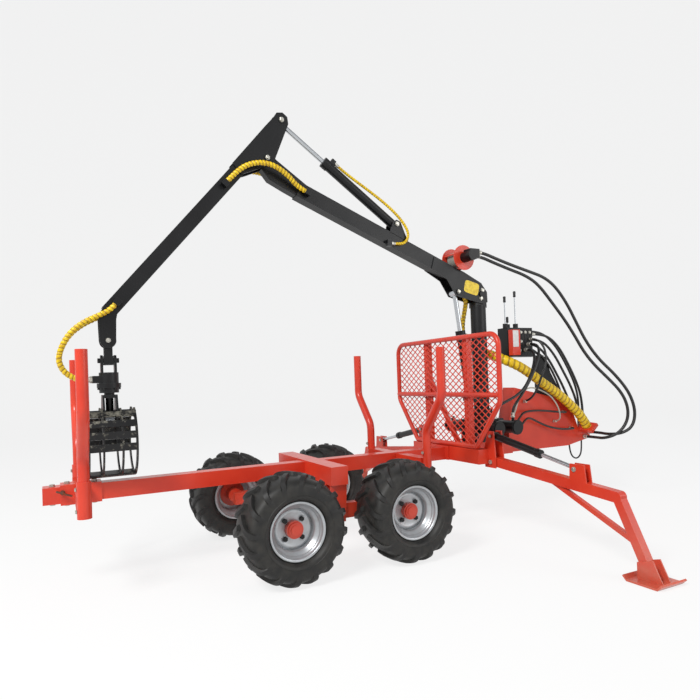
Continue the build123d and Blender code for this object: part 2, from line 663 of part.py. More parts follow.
def cylinder_rod(base, eye, length, rod_d, eye_d, eye_w, hidden):
    """A rod that reaches from inside its barrel to an eye with a short pin."""
    first = Vector(*base)
    last = Vector(*eye)
    along = (last - first).normalized()
    start = first + along * (length - hidden)
    rod = rod_between(tuple(start), eye, rod_d)
    across = Vector(0, 1, 0) if abs(along.Y) < 0.1 else Vector(1, 0, 0)
    side = across * (eye_w / 2)
    return rod + rod_between(tuple(last - side), tuple(last + side), eye_d)


OUT_BASE_3D = (OUT_X, -OUT_PIVOT_Y, OUT_CYL_BASE_Z)
OUT_EYE_3D = (OUT_X, -OUT_CYL_EYE_Y, OUT_CYL_EYE_Z)


def outrigger_barrel():
    """The barrel, pinned in the tower, with its pin."""
    barrel = cylinder_barrel(OUT_BASE_3D, OUT_EYE_3D, OUT_BARREL_L, OUT_BARREL_D, 56, OUT_ARM_W, 0,
                             OUT_ROD_D)
    reach = OUT_FORK_HALF + TOWER_T + 6
    return barrel + pin_x(-OUT_PIVOT_Y, OUT_CYL_BASE_Z, OUT_PIN_D - 8, OUT_X - reach, OUT_X + reach)


def outrigger_rod():
    """The rod, with its eye between the lug's plates."""
    return cylinder_rod(OUT_BASE_3D, OUT_EYE_3D, OUT_BARREL_L, OUT_ROD_D, 46, OUT_ARM_W - 24, 215)


# Crane, in the plane of the boom

def slew_unit():
    """A rack-and-pinion slew housing with two cross tubes."""
    half = SLEW_TUBE_X + SLEW_TUBE_D / 2
    unit = box(COLUMN_X - half, COLUMN_X + half, -100, 100, SLEW_BASE_Z, SLEW_TUBE_Z + SLEW_TUBE_D / 2 + 10)
    unit += rod_between((COLUMN_X, 0, SLEW_BASE_Z), (COLUMN_X, 0, SLEW_TOP_Z), COLUMN_D + 60)
    for side in (-1, 1):
        x = COLUMN_X + side * SLEW_TUBE_X
        unit += pin_y(x, SLEW_TUBE_Z, SLEW_TUBE_D, -SLEW_TUBE_HALF, SLEW_TUBE_HALF)
        for end in (-1, 1):
            start = end * (SLEW_TUBE_HALF - 26)
            stop = end * (SLEW_TUBE_HALF - 8)
            unit += pin_y(x, SLEW_TUBE_Z, SLEW_TUBE_D + 16, min(start, stop), max(start, stop))
            port = end * (SLEW_TUBE_HALF - 60)
            high = SLEW_TUBE_Z + SLEW_TUBE_D / 2
            unit += rod_between((x, port, SLEW_TUBE_Z), (x, port, high + 26), 24)
    return unit


def column():
    """The turning post, with the lift cylinder's bracket and the boom's lug."""
    post = rod_between((COLUMN_X, 0, SLEW_TOP_Z + RUN_GAP), (COLUMN_X, 0, BOOM_PIVOT_Z - 90), COLUMN_D)
    post += rod_between((COLUMN_X, 0, SLEW_TOP_Z + RUN_GAP), (COLUMN_X, 0, SLEW_TOP_Z + 24), COLUMN_D + 50)
    lug_half = BOOM_W / 2 - 2
    lug = side_plate([(COLUMN_X - 60, BOOM_PIVOT_Z - 110), (COLUMN_X + 60, BOOM_PIVOT_Z - 110),
                      (COLUMN_X + 56, BOOM_PIVOT_Z), (COLUMN_X - 56, BOOM_PIVOT_Z)], -lug_half, lug_half)
    lug += pin_y(COLUMN_X, BOOM_PIVOT_Z, 112, -lug_half, lug_half)
    post += lug
    gap = LIFT_BARREL_D / 2 + SIDE_GAP
    x, z = LIFT_BASE
    outline = [(COLUMN_X, z - 70), (x - 34, z - 34), (x - 34, z + 34), (COLUMN_X, z + 90)]
    for low in (-gap - 12, gap):
        post += side_plate(outline, low, low + 12)
    post += pin_y(x, z, 34, -gap - 18, gap + 18)
    reach = BOOM_W / 2 + BOOM_PLATE_T + 12
    post += pin_y(COLUMN_X, BOOM_PIVOT_Z, BOOM_PIN_D, -reach, reach)
    return post


def boom():
    """The main arm: a box tube, two root plates, a knuckle at the elbow and the cylinder lugs."""
    arm = beam_xz(BOOM_ROOT, BOOM_NOSE, BOOM_W, BOOM_H)
    pivot_x = COLUMN_X
    root = [(490, 2070), (520, 2166), (816, 2058), (pivot_x, 1975), (pivot_x + 60, 1900),
            (pivot_x + 62, 1815), (pivot_x + 20, 1798), (874, 1826), (724, 1862), (640, 1990)]
    for low in (-BOOM_W / 2 - BOOM_PLATE_T, BOOM_W / 2):
        arm += side_plate(root, low, low + BOOM_PLATE_T)
    reach = BOOM_W / 2 + BOOM_PLATE_T + 2
    arm -= pin_y(pivot_x, BOOM_PIVOT_Z, BOOM_PIN_D + 2 * PIN_GAP, -reach, reach)
    knuckle = [(-540, 2596), (-800, 2770), (-826, 2800), (-870, 2818), (-912, 2800), (-922, 2760),
               (-912, 2690), (-858, 2622), (-737, 2566), (-545, 2484)]
    half = KNUCKLE_W / 2
    arm += side_plate(knuckle, -half, half)
    arm -= pin_y(ELBOW[0], ELBOW[1], ELBOW_PIN_D + 2 * PIN_GAP, -half - 2, half + 2)
    x, z = STICK_BASE
    lug = [(x + 100, 2270), (x + 34, z + 20), (x, z + 34), (x - 34, z + 16), (x - 60, 2335)]
    gap = STICK_BARREL_D / 2 + SIDE_GAP
    for low in (-gap - 10, gap):
        arm += side_plate(lug, low, low + 10)
    arm += pin_y(x, z, 32, -gap - 14, gap + 14)
    eye = BOOM_W / 2 + BOOM_PLATE_T
    for low in (-eye - 8, eye):
        arm += pin_y(LIFT_EYE[0], LIFT_EYE[1], 44, low, low + 8)
    clamp = clamp_xz(BOOM_ROOT, BOOM_NOSE, ELBOW_END_SHARE, CLAMP_L, ELBOW_END_Y, ELBOW_HOSE_D)
    arm += clamp + mirror_y(clamp)
    arm += box(STICK_HOSE_END_X - CLAMP_L, STICK_HOSE_END_X, -80, 5 - BOOM_W / 2, 2216, 2266)
    arm += pin_y(COLUMN_ROUTE[0][0], COLUMN_ROUTE[0][2] + 10.3, 20, -BOOM_W / 2, BOOM_W / 2)
    return arm


def clamp_xz(start, end, share, length, y, diameter):
    """A block on an arm's right flank that holds a hose's end."""
    middle = between(start, end, share)
    along = Vector(end[0] - start[0], 0, end[1] - start[1]).normalized()
    low = Vector(middle[0], (y - diameter / 2 - 6) / 2, middle[1]) - along * (length / 2)
    plane = Plane(origin=low, x_dir=(0, 1, 0), z_dir=along)
    return extrude(plane * Rectangle(abs(y - diameter / 2 - 6), diameter + 12), amount=length)


def to_3d(point):
    """An (X, Z) point in the crane's plane as (X, Y, Z)."""
    return (point[0], 0.0, point[1])


def lift_barrel():
    """The lift cylinder's barrel, on its pin in the column's bracket."""
    width = LIFT_BARREL_D
    return cylinder_barrel(to_3d(LIFT_BASE), to_3d(LIFT_EYE), LIFT_BARREL_L, LIFT_BARREL_D, 68, width,
                           34 + 2 * PIN_GAP, LIFT_ROD_D)


def lift_rod():
    """The lift cylinder's rod, with its eye between the boom's root plates."""
    return cylinder_rod(to_3d(LIFT_BASE), to_3d(LIFT_EYE), LIFT_BARREL_L, LIFT_ROD_D, 62, BOOM_W - 12, 250)


def stick_barrel():
    """The stick cylinder's barrel, on its pin on the boom."""
    width = STICK_BARREL_D
    barrel = cylinder_barrel(to_3d(STICK_BASE), to_3d(STICK_EYE), STICK_BARREL_L, STICK_BARREL_D, 62, width,
                             32 + 2 * PIN_GAP, STICK_ROD_D)
    along = (Vector(*to_3d(STICK_EYE)) - Vector(*to_3d(STICK_BASE))).normalized()
    out = Vector(along.Z, 0, -along.X)
    start = Vector(*to_3d(STICK_BASE)) + along * 650 + out * 50
    plane = Plane(origin=start, x_dir=(0, 1, 0), z_dir=along)
    return barrel + extrude(plane * Rectangle(32, 40), amount=36)


def stick_rod():
    """The stick cylinder's rod, with its eye between the stick's head plates."""
    base, eye = to_3d(STICK_BASE), to_3d(STICK_EYE)
    return cylinder_rod(base, eye, STICK_BARREL_L, STICK_ROD_D, 60, STICK_W - 12, 330)


def stick():
    """The outer arm: a tube with flag-shaped head plates and a bent tip fork."""
    slope = math.radians(STICK_SLOPE)
    along = (math.cos(slope), math.sin(slope))
    tip_top = (TIP[0] + 6, TIP[1] + 175)
    head = (tip_top[0] + 1450 * along[0], tip_top[1] + 1450 * along[1])
    arm = beam_xz(tip_top, head, STICK_W, STICK_H)
    eye_x, eye_z = STICK_EYE
    plates = [(-1120, 2700), (-880, 2990), (eye_x - 58, eye_z + 10), (eye_x - 34, eye_z + 46),
              (eye_x + 10, eye_z + 54), (eye_x + 46, eye_z + 28), (eye_x + 52, eye_z - 22),
              (ELBOW[0] + 62, ELBOW[1] + 10), (ELBOW[0] + 40, ELBOW[1] - 44), (ELBOW[0] - 6, ELBOW[1] - 58),
              (-1010, 2650), (-1060, 2630)]
    half = STICK_W / 2
    for low in (-half - STICK_HEAD_T, half):
        arm += side_plate(plates, low, low + STICK_HEAD_T)
        arm += pin_y(eye_x, eye_z, 46, low - 4, low + STICK_HEAD_T + 4)
    x, z = TIP
    fork = [(x - 48, z), (x - 52, z + 150), (x - 20, z + 210), (x + 66, z + 210), (x + 50, z + 130),
            (x + 46, z)]
    for low in (-half - STICK_HEAD_T, half):
        ear = side_plate(fork, low, low + STICK_HEAD_T)
        arm += ear + pin_y(x, z, 94, low, low + STICK_HEAD_T)
    reach = half + STICK_HEAD_T + 6
    arm += pin_y(x, z, TIP_PIN_D, -reach, reach)
    arm += pin_y(ELBOW[0], ELBOW[1], ELBOW_PIN_D, -reach, reach)
    for share, y, thick in ((ELBOW_START_SHARE, -58, ELBOW_HOSE_D),
                            (GRAPPLE_START_SHARE, -64, GRAPPLE_HOSE_D)):
        clamp = clamp_xz(tip_top, head, share, CLAMP_L, y, thick)
        arm += clamp + mirror_y(clamp)
    return arm


# Winch

def winch_frame():
    """Two round side plates joined by bars, on a saddle on the boom's root."""
    x, z = WINCH
    half = WINCH_HALF
    frame = Part()
    for low in (-half - WINCH_PLATE_T, half):
        plate = pin_y(x, z, WINCH_FLANGE_D, low, low + WINCH_PLATE_T)
        plate -= pin_y(x, z, WINCH_SHAFT_D + 2 * PIN_GAP, low - 2, low + WINCH_PLATE_T + 2)
        frame += plate
    for dx, dz in ((-78, 30), (78, 30), (0, -86)):
        frame += pin_y(x + dx, z + dz, 16, -half, half)
    return frame


def winch_drum():
    """The drum on its shaft."""
    x, z = WINCH
    drum = pin_y(x, z, DRUM_D, -WINCH_HALF + 6, WINCH_HALF - 6)
    reach = WINCH_HALF + WINCH_PLATE_T
    return drum + pin_y(x, z, WINCH_SHAFT_D, -reach, reach)


def winch_motor():
    """The hydraulic motor on the winch's right side, with its two ports."""
    x, z = WINCH
    start = -WINCH_HALF - WINCH_PLATE_T - RUN_GAP
    motor = pin_y(x, z, MOTOR_D, start - MOTOR_L, start)
    motor += box(x - 20, x + 75, start - MOTOR_L + 10, start - 22, z - 20, z + 54)
    return motor


# Grapple: made hanging under the tip pin at the origin, then moved to the stick's tip

def at_tip(solid):
    """The piece moved from the origin to the tip pin."""
    return Pos(TIP[0], 0, TIP[1]) * solid


def tip_link():
    """Two straps from the tip pin to the cross pin."""
    outer = STICK_W / 2 - SIDE_GAP
    link = Part()
    for low in (-outer, outer - LINK_T):
        strap = side_plate([(-24, 0), (24, 0), (24, LINK_PIN_Z), (-24, LINK_PIN_Z)], low, low + LINK_T)
        strap += pin_y(0, 0, 48, low, low + LINK_T)
        strap -= pin_y(0, 0, TIP_PIN_D + 2 * PIN_GAP, low - 1, low + LINK_T + 1)
        link += strap
    block = box(-28, 28, -outer, outer, LINK_PIN_Z - 28, LINK_PIN_Z + 28)
    link += block
    link += pin_x(0, LINK_PIN_Z, 30, -62, 62)
    return at_tip(link)


def rotator():
    """The rotator's body with the two ears that hang on the cross pin."""
    body = rod_between((0, 0, ROTATOR_TOP), (0, 0, ROTATOR_FOOT), ROTATOR_D - 26)
    body += rod_between((0, 0, ROTATOR_TOP - 66), (0, 0, ROTATOR_TOP - 94), ROTATOR_D)
    for turn in range(0, 360, 60):
        x = 0.43 * ROTATOR_D * math.cos(math.radians(turn))
        y = 0.43 * ROTATOR_D * math.sin(math.radians(turn))
        body += rod_between((x, y, ROTATOR_TOP - 94), (x, y, ROTATOR_TOP - 106), 14)
    for low in (-28 - SIDE_GAP - 14, 28 + SIDE_GAP):
        outline = [(-34, ROTATOR_TOP), (34, ROTATOR_TOP), (34, LINK_PIN_Z), (-34, LINK_PIN_Z)]
        ear = cross_plate(outline, low, low + 14)
        ear += pin_x(0, LINK_PIN_Z, 68, low, low + 14)
        ear -= pin_x(0, LINK_PIN_Z, 30 + 2 * PIN_GAP, low - 1, low + 15)
        body += ear
    body += box(-ROTATOR_D / 2 - 24, -30, -46, 46, ROTATOR_TOP - 64, ROTATOR_TOP - 20)
    body -= rod_between((0, 0, ROTATOR_FOOT), (0, 0, ROTATOR_FOOT + 40), SHAFT_D + 2 * PIN_GAP)
    return at_tip(body)


def grapple_frame():
    """The turning shaft, the neck's two plates and the two jaw pins."""
    shaft = rod_between((0, 0, ROTATOR_FOOT + 40 - RUN_GAP), (0, 0, ROTATOR_FOOT - 20), SHAFT_D)
    frame = shaft + box(-NECK_HALF, NECK_HALF, -50, 50, ROTATOR_FOOT - 32, ROTATOR_FOOT - 12)
    outline = [(-50, ROTATOR_FOOT - 20), (50, ROTATOR_FOOT - 20), (JAW_PIVOT_Y + 30, JAW_PIVOT_Z),
               (JAW_PIVOT_Y, JAW_PIVOT_Z - 30), (-JAW_PIVOT_Y, JAW_PIVOT_Z - 30),
               (-JAW_PIVOT_Y - 30, JAW_PIVOT_Z)]
    for low in (-NECK_HALF, NECK_HALF - 12):
        frame += cross_plate(outline, low, low + 12)
    for y in (-JAW_PIVOT_Y, JAW_PIVOT_Y):
        frame += pin_x(y, JAW_PIVOT_Z, JAW_PIN_D, -JAW_HALF - 6, JAW_HALF + 6)
    frame -= rod_between((0, 0, ROTATOR_FOOT - 34), (0, 0, ROTATOR_FOOT - 11), 40)
    return at_tip(frame)


def jaw():
    """The right jaw: crescent end plates, an inner pair of arms and slats along the curve."""
    outer = JAW_R
    inner = JAW_R - JAW_DEPTH
    centre = (0, JAW_CENTRE_Z)

    def on_circle(radius, degrees):
        turn = math.radians(degrees)
        return (centre[0] - radius * math.cos(turn), centre[1] + radius * math.sin(turn))

    top = 66
    tip = -88
    middle = (top + tip) / 2
    first = on_circle(outer, top)
    last = on_circle(outer, tip)
    outline = ThreePointArc(first, on_circle(outer, middle), last)
    outline += Line(last, on_circle(inner + 18, tip))
    outline += ThreePointArc(on_circle(inner + 18, tip), on_circle(inner, middle),
                             on_circle(inner - 6, top))
    pivot_in = (-JAW_PIVOT_Y + 22, JAW_PIVOT_Z - 16)
    pivot_out = (-JAW_PIVOT_Y + 16, JAW_PIVOT_Z + 24)
    outline += Polyline(on_circle(inner - 6, top), pivot_in, pivot_out, first)
    crescent = make_face(outline)
    body = Part()
    starts = (-JAW_HALF, -NECK_HALF - SIDE_GAP - JAW_PLATE_T, NECK_HALF + SIDE_GAP, JAW_HALF - JAW_PLATE_T)
    for low in starts:
        plane = Plane(origin=(low, 0, 0), x_dir=(0, 1, 0), z_dir=(1, 0, 0))
        plate = extrude(plane * crescent, amount=JAW_PLATE_T)
        plate += pin_x(-JAW_PIVOT_Y, JAW_PIVOT_Z, 58, low, low + JAW_PLATE_T)
        plate -= pin_x(-JAW_PIVOT_Y, JAW_PIVOT_Z, JAW_PIN_D + 2 * PIN_GAP, low - 1, low + JAW_PLATE_T + 1)
        body += plate
    for turn, width, thick in JAW_SLATS:
        y, z = on_circle(outer - thick / 2, turn)
        body += Pos(0, y, z) * Rot(-turn, 0, 0) * Box(2 * JAW_HALF, thick, width)
    y, z = on_circle(outer - JAW_DEPTH / 2, 24)
    body += pin_x(y, z, 34, -JAW_HALF - 14, -JAW_HALF)
    return at_tip(body)


def grapple_barrel():
    """The upright cylinder between the neck's plates."""
    barrel = rod_between((0, 0, ROTATOR_FOOT - 32), (0, 0, ROTATOR_FOOT - 110), 46)
    barrel -= rod_between((0, 0, ROTATOR_FOOT - 42), (0, 0, ROTATOR_FOOT - 111), 24 + 2 * RUN_GAP)
    return at_tip(barrel)


def grapple_rod():
    """The rod with its crosshead between the jaws' arms."""
    rod = rod_between((0, 0, ROTATOR_FOOT - 76), (0, 0, ROTATOR_FOOT - 165), 24)
    rod += pin_x(0, ROTATOR_FOOT - 165, 36, -26, 26)
    return at_tip(rod)


# Hoses: each a list of hand-chosen points, rounded as far as its runs allow

def hose(points, diameter):
    """A hose of straight runs and tangent arcs, each arc as large as its two runs allow."""
    radii = []
    for before, here, after in zip(points, points[1:], points[2:]):
        first = Vector(*here) - Vector(*before)
        second = Vector(*after) - Vector(*here)
        turn = math.radians(first.get_angle(second))
        radii.append(0.45 * min(first.length, second.length) / math.tan(turn / 2))
    path = FilletPolyline(*points, radius=radii)
    start = Vector(*points[1]) - Vector(*points[0])
    tube = sweep(Plane(origin=points[0], z_dir=start) * Circle(diameter / 2), path=path)
    return tube


WINCH_HOSE_D = 26.0
WINCH_SPLIT = 3
WINCH_OUTER = [(872.3, -151, 2206), (935, -151, 2206), (1080, -156, 2163), (1240, -167, 2117),
               (1404, -185, 2072), (1561, -205, 2027), (1667, -230, 1944), (1765, -258, 1799),
               (1830, -290, 1640), (1895, -335, 1459), (1990, -385, 1299), (2125, -440, 1159),
               (2245, -480, 1000), (2290, -500, 838), (2262, -490, 700), (2190, -430, 640),
               (2150, -320, 630), (2187, -200, 634), (2187, -70.3, 634)]
WINCH_INNER = [(872.3, -126, 2178), (935, -126, 2178), (1075, -131, 2134), (1232, -142, 2087),
               (1392, -160, 2040), (1510, -184, 1966), (1625, -216, 1815), (1730, -255, 1660),
               (1800, -295, 1520), (1862, -335, 1372), (1950, -370, 1250), (2060, -412, 1135),
               (2180, -452, 1005), (2235, -470, 870), (2225, -465, 745), (2160, -420, 640),
               (2100, -320, 596), (2130, -200, 596), (2130, -70.3, 596)]
TRUNK_D = 84.0
TRUNK_ROUTE = [(905, 104, 1545), (938.3, 112.3, 1474.9), (1022, 128, 1424), (1110, 98, 1395),
               (1165, 22, 1362), (1208, -62, 1322), (1282, -112, 1280), (1370, -136, 1230), (1550, -140, 1118),
               (1735, -138, 1015), (1895, -138, 905), (2032, -134, 795), (2116, -120, 695)]
COLUMN_HOSE_D = 44.0
COLUMN_ROUTE = [(840, 18, 1874.7), (840, 18, 1800), (836, 48, 1720), (874, 96, 1610), (903.9, 103.5, 1547)]
FRAME_HOSE_D = 22.0
# Hoses that stay on the frame: four from the valve to the nose, two down to the slew unit's ports
FRAME_ROUTES = [
    [(1540.3, -50, 1545), (1640, -50, 1545), (1760, -54, 1516), (1872, -58, 1420), (1962, -62, 1285),
     (2050, -60, 1145), (2125, -50, 1010), (2166, -34, 880), (2180, -22, 780), (2180, -22, 680.3)],
    [(1540.3, -18, 1500), (1630, -18, 1500), (1740, -20, 1462), (1848, -22, 1355), (1940, -24, 1215),
     (2025, -24, 1085), (2090, -22, 960), (2122, -20, 850), (2132, -18, 765), (2132, -18, 680.3)],
    [(1540.3, 14, 1460), (1620, 14, 1460), (1722, 14, 1414), (1820, 14, 1306), (1905, 14, 1180),
     (1985, 15, 1055), (2050, 16, 930), (2084, 17, 825), (2092, 18, 755), (2092, 18, 680.3)],
    [(1540.3, 44, 1425), (1615, 44, 1425), (1712, 44, 1374), (1802, 46, 1262), (1886, 48, 1135),
     (1968, 50, 1010), (2040, 51, 890), (2088, 52, 800), (2104, 52, 745), (2104, 52, 680.3)],
    [(1470, -70.3, 1455), (1470, -150, 1455), (1452, -225, 1420), (1385, -280, 1320), (1290, -300, 1180),
     (1185, -295, 1040), (1108, -280, 950), (1088, -270, 900), (1088, -270, 843.3)],
    [(1435, -70.3, 1405), (1435, -140, 1405), (1410, -215, 1365), (1330, -275, 1245), (1215, -300, 1090),
     (1100, -302, 1014), (978, -286, 967), (926, -276, 937), (896, -270, 885), (896, -270, 843.3)],
]
ELBOW_HOSE_D = 30.0
ELBOW_START_SHARE = 0.80
ELBOW_END_SHARE = 0.955
ELBOW_END_Y = -66.0
ELBOW_ROUTE = [(-1165.4, -58, 2562.5), (-1120, -58, 2615.7), (-1045, -80, 2680), (-945, -95, 2714),
               (-835, -98, 2703), (-735, -88, 2650), (-655.3, -66, 2584), (-599.5, -66, 2561.9)]
STICK_HOSE_D = 22.0
STICK_HOSE_END_X = 110.0
STICK_HOSE_ROUTE = [(-323.4, 0, 2820.4), (-247.7, 0, 2767.1), (-137.9, -10, 2699), (-29.2, -22, 2630.8),
                    (78.3, -36, 2557.7), (161.4, -52, 2484.6), (225, -62, 2415), (268, -66, 2345),
                    (262, -66, 2285), (225, -64, 2248), (165, -62, 2241), (110.3, -62, 2241)]
GRAPPLE_HOSE_D = 30.0
GRAPPLE_START_SHARE = 0.055
GRAPPLE_SPLIT = 5
GRAPPLE_ROUTE = [(-1893.9, -64, 1709.6), (-1925, -64, 1673.2), (-1985, -70, 1632), (-2055, -74, 1582),
                 (-2112, -72, 1515), (-2150, -64, 1440), (-2167, -52, 1367), (-2151.6, -40, 1309.5),
                 (-2109.5, -28, 1267.4), (-2060, -24, 1252), (-2032.3, -24, 1252)]
CLAMP_L = 40.0


def split_run(points, index):
    """A route in two, parted in the middle of one straight run with a hair's gap."""
    middle = between(points[index], points[index + 1], 0.5)
    length = (Vector(*points[index + 1]) - Vector(*points[index])).length
    share = RUN_GAP / 2 / length
    before = between(middle, points[index], share)
    after = between(middle, points[index + 1], share)
    return points[:index + 1] + [before], [after] + points[index + 1:]


def pair(first, second):
    """Two separate solids in one node."""
    return Compound(children=[first, second])


# Node table: name, solid

def wheel_place(side_x, side_y):
    """Where a wheel made at the origin goes; the left side is the right one turned round."""
    turn = 0 if side_y < 0 else 180
    return Pos(BOGIE_X + side_x * WHEELBASE / 2, side_y * TRACK / 2, AXLE_Z) * Rot(0, 0, turn)


def build_nodes():
    """Every node's solid by name."""
    nodes = {
        "spine": spine(),
        "rear_bunk": rear_bunk(),
        "rear_stakes": pair(*stakes(REAR_STAKE_X)),
        "front_bunk": front_bunk(),
        "bogie_crossbeam": bogie_crossbeam(),
        "headboard_frame": headboard_frame(),
        "headboard_mesh": headboard_mesh(),
        "front_beam": front_beam(),
        "crane_base": crane_base(),
        "drawbar": drawbar(),
        "slew_unit": slew_unit(),
        "valve_stand": valve_stand(),
        "valve_block": valve_block(),
        "valve_levers": valve_levers(),
        "column": column(),
        "boom": boom(),
        "lift_barrel": lift_barrel(),
        "lift_rod": lift_rod(),
        "stick": stick(),
        "stick_barrel": stick_barrel(),
        "stick_rod": stick_rod(),
        "winch_frame": winch_frame(),
        "winch_drum": winch_drum(),
        "winch_motor": winch_motor(),
        "tip_link": tip_link(),
        "rotator": rotator(),
        "grapple_frame": grapple_frame(),
        "grapple_barrel": grapple_barrel(),
        "grapple_rod": grapple_rod(),
    }
    right_jaw = jaw()
    right = {
        "bogie_beam": bogie_beam(),
        "outrigger": outrigger(),
        "outrigger_barrel": outrigger_barrel(),
        "outrigger_rod": outrigger_rod(),
        "jaw": right_jaw,
    }
    for name, solid in right.items():
        nodes[name + "_right"] = solid
        nodes[name + "_left"] = mirror_y(solid)
    wheel = {"tyre": tyre(), "rim": rim(), "hub": hub()}
    for end, side_x in (("rear", -1), ("front", 1)):
        for hand, side_y in (("right", -1), ("left", 1)):
            for piece, solid in wheel.items():
                nodes[f"{piece}_{end}_{hand}"] = wheel_place(side_x, side_y) * solid
    outer = split_run(WINCH_OUTER, WINCH_SPLIT)
    inner = split_run(WINCH_INNER, WINCH_SPLIT)
    for index, part_name in enumerate(("upper", "lower")):
        runs = [hose(half[index], WINCH_HOSE_D) for half in (outer, inner)]
        nodes["winch_hoses_" + part_name] = pair(*runs)
    nodes["trunk_hose"] = hose(TRUNK_ROUTE, TRUNK_D)
    nodes["column_hose"] = hose(COLUMN_ROUTE, COLUMN_HOSE_D)
    nodes["valve_hoses"] = Compound(children=[hose(route, FRAME_HOSE_D) for route in FRAME_ROUTES])
    elbow = hose(ELBOW_ROUTE, ELBOW_HOSE_D)
    nodes["elbow_hoses"] = pair(elbow, mirror_y(elbow))
    nodes["stick_hose"] = hose(STICK_HOSE_ROUTE, STICK_HOSE_D)
    for part_name, route in zip(("upper", "lower"), split_run(GRAPPLE_ROUTE, GRAPPLE_SPLIT)):
        grapple = hose(route, GRAPPLE_HOSE_D)
        nodes["grapple_hoses_" + part_name] = pair(grapple, mirror_y(grapple))
    return nodes


os.makedirs("parts", exist_ok=True)
for node_name, node_solid in build_nodes().items():
    export_step(node_solid, f"parts/{node_name}.step")
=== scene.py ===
"""Looks of a log trailer with a loading crane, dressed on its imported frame.

Metres, +X forward to the tow eye, +Y left, +Z up, as in the frame. Places are written in millimetres.
"""

import bpy
import numpy as np
from mathutils import Matrix


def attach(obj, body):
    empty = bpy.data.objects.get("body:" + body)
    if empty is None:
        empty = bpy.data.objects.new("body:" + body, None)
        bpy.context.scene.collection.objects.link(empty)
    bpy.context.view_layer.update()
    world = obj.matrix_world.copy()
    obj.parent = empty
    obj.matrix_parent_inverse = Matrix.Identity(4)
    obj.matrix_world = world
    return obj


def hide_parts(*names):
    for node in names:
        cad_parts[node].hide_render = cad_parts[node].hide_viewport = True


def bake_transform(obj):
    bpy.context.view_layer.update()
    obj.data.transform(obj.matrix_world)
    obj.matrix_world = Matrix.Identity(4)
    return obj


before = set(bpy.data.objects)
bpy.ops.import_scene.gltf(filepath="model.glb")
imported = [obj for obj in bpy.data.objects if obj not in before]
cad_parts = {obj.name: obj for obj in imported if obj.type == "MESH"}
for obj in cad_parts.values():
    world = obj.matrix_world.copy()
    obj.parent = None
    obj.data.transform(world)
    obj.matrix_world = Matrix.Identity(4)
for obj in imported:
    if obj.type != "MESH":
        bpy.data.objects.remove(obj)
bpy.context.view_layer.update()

# Studio: a pale floor runs out into a round backdrop, under two soft lamps and an even sky. The camera
# stands at the trailer's right rear, as in the photograph.


def linear(hex_colour):
    """Linear RGBA of an sRGB hex colour: each channel through the sRGB curve."""
    srgb = np.array([int(hex_colour[i:i + 2], 16) / 255 for i in (1, 3, 5)])
    rgb = np.where(srgb <= 0.04045, srgb / 12.92, ((srgb + 0.055) / 1.055) ** 2.4)
    return (*rgb, 1.0)


def node(tree, kind, inputs=None, stops=(), **settings):
    """Add a shader node. An input is a value, a socket, or a node whose first live output is linked.

    Stops are the (position, hex colour) pairs of a colour ramp.
    """
    made = tree.nodes.new("ShaderNode" + kind)
    for name, value in settings.items():
        setattr(made, name, value)
    for k, (position, colour) in enumerate(stops):
        made.color_ramp.elements[k].position = position
        made.color_ramp.elements[k].color = linear(colour)
    for key, value in (inputs or {}).items():
        if isinstance(value, bpy.types.Node):
            value = next(socket for socket in value.outputs if socket.enabled)
        if isinstance(value, bpy.types.NodeSocket):
            tree.links.new(value, made.inputs[key])
        else:
            made.inputs[key].default_value = value
    return made


def empty_material(name):
    """A material and its empty node tree."""
    material = bpy.data.materials.new(name)
    material.use_nodes = True
    material.node_tree.nodes.clear()
    return material, material.node_tree


def mesh_object(name, vertices, faces, material, crease=40):
    """A mesh from vertices in metres and a list of faces, smooth but for edges past the crease angle."""
    mesh = bpy.data.meshes.new(name)
    mesh.from_pydata([tuple(v) for v in np.asarray(vertices).tolist()], [], faces)
    mesh.polygons.foreach_set("use_smooth", np.full(len(mesh.polygons), True))
    mesh.set_sharp_from_angle(angle=np.radians(crease))
    mesh.materials.append(material)
    mesh.update()
    made = bpy.data.objects.new(name, mesh)
    bpy.context.scene.collection.objects.link(made)
    return made


def grid_faces(rows, columns, wrap_rows=False, wrap_columns=False):
    """Quads between neighbours of a rows x columns grid of points, closed on itself where wrapped."""
    i = np.arange(rows if wrap_rows else rows - 1)[:, None]
    j = np.arange(columns if wrap_columns else columns - 1)[None, :]
    a = i * columns + j
    b = i * columns + (j + 1) % columns
    c = (i + 1) % rows * columns + (j + 1) % columns
    d = (i + 1) % rows * columns + j
    return np.stack([a, b, c, d], -1).reshape(-1, 4)


def stand(thing, side, top, back, place):
    """Put a camera or lamp in the scene at a place, looking along -back."""
    bpy.context.scene.collection.objects.link(thing)
    thing.matrix_world = Matrix([*zip(side, top, back, place), (0, 0, 0, 1)])


# The camera was fitted to the photograph: angles in radians, place in metres, lens and shift in its pixels
VIEW_YAW, VIEW_PITCH, VIEW_ROLL = 0.474, 0.007, -0.035
CAMERA_PLACE = (-2.238, -3.862, 1.197)
PHOTO_WIDTH, FOCAL_LENGTH, IMAGE_SHIFT, SENSOR_WIDTH = 700, 576, 25.7, 36.0
forward = np.array([np.sin(VIEW_YAW) * np.cos(VIEW_PITCH), np.cos(VIEW_YAW) * np.cos(VIEW_PITCH),
                    np.sin(VIEW_PITCH)])
level = np.array([np.cos(VIEW_YAW), -np.sin(VIEW_YAW), 0.0])
upright = np.cross(level, forward)
right = np.cos(VIEW_ROLL) * level + np.sin(VIEW_ROLL) * upright
up = -np.sin(VIEW_ROLL) * level + np.cos(VIEW_ROLL) * upright
camera_data = bpy.data.cameras.new("camera")
camera_data.sensor_width = SENSOR_WIDTH
camera_data.lens = SENSOR_WIDTH * FOCAL_LENGTH / PHOTO_WIDTH
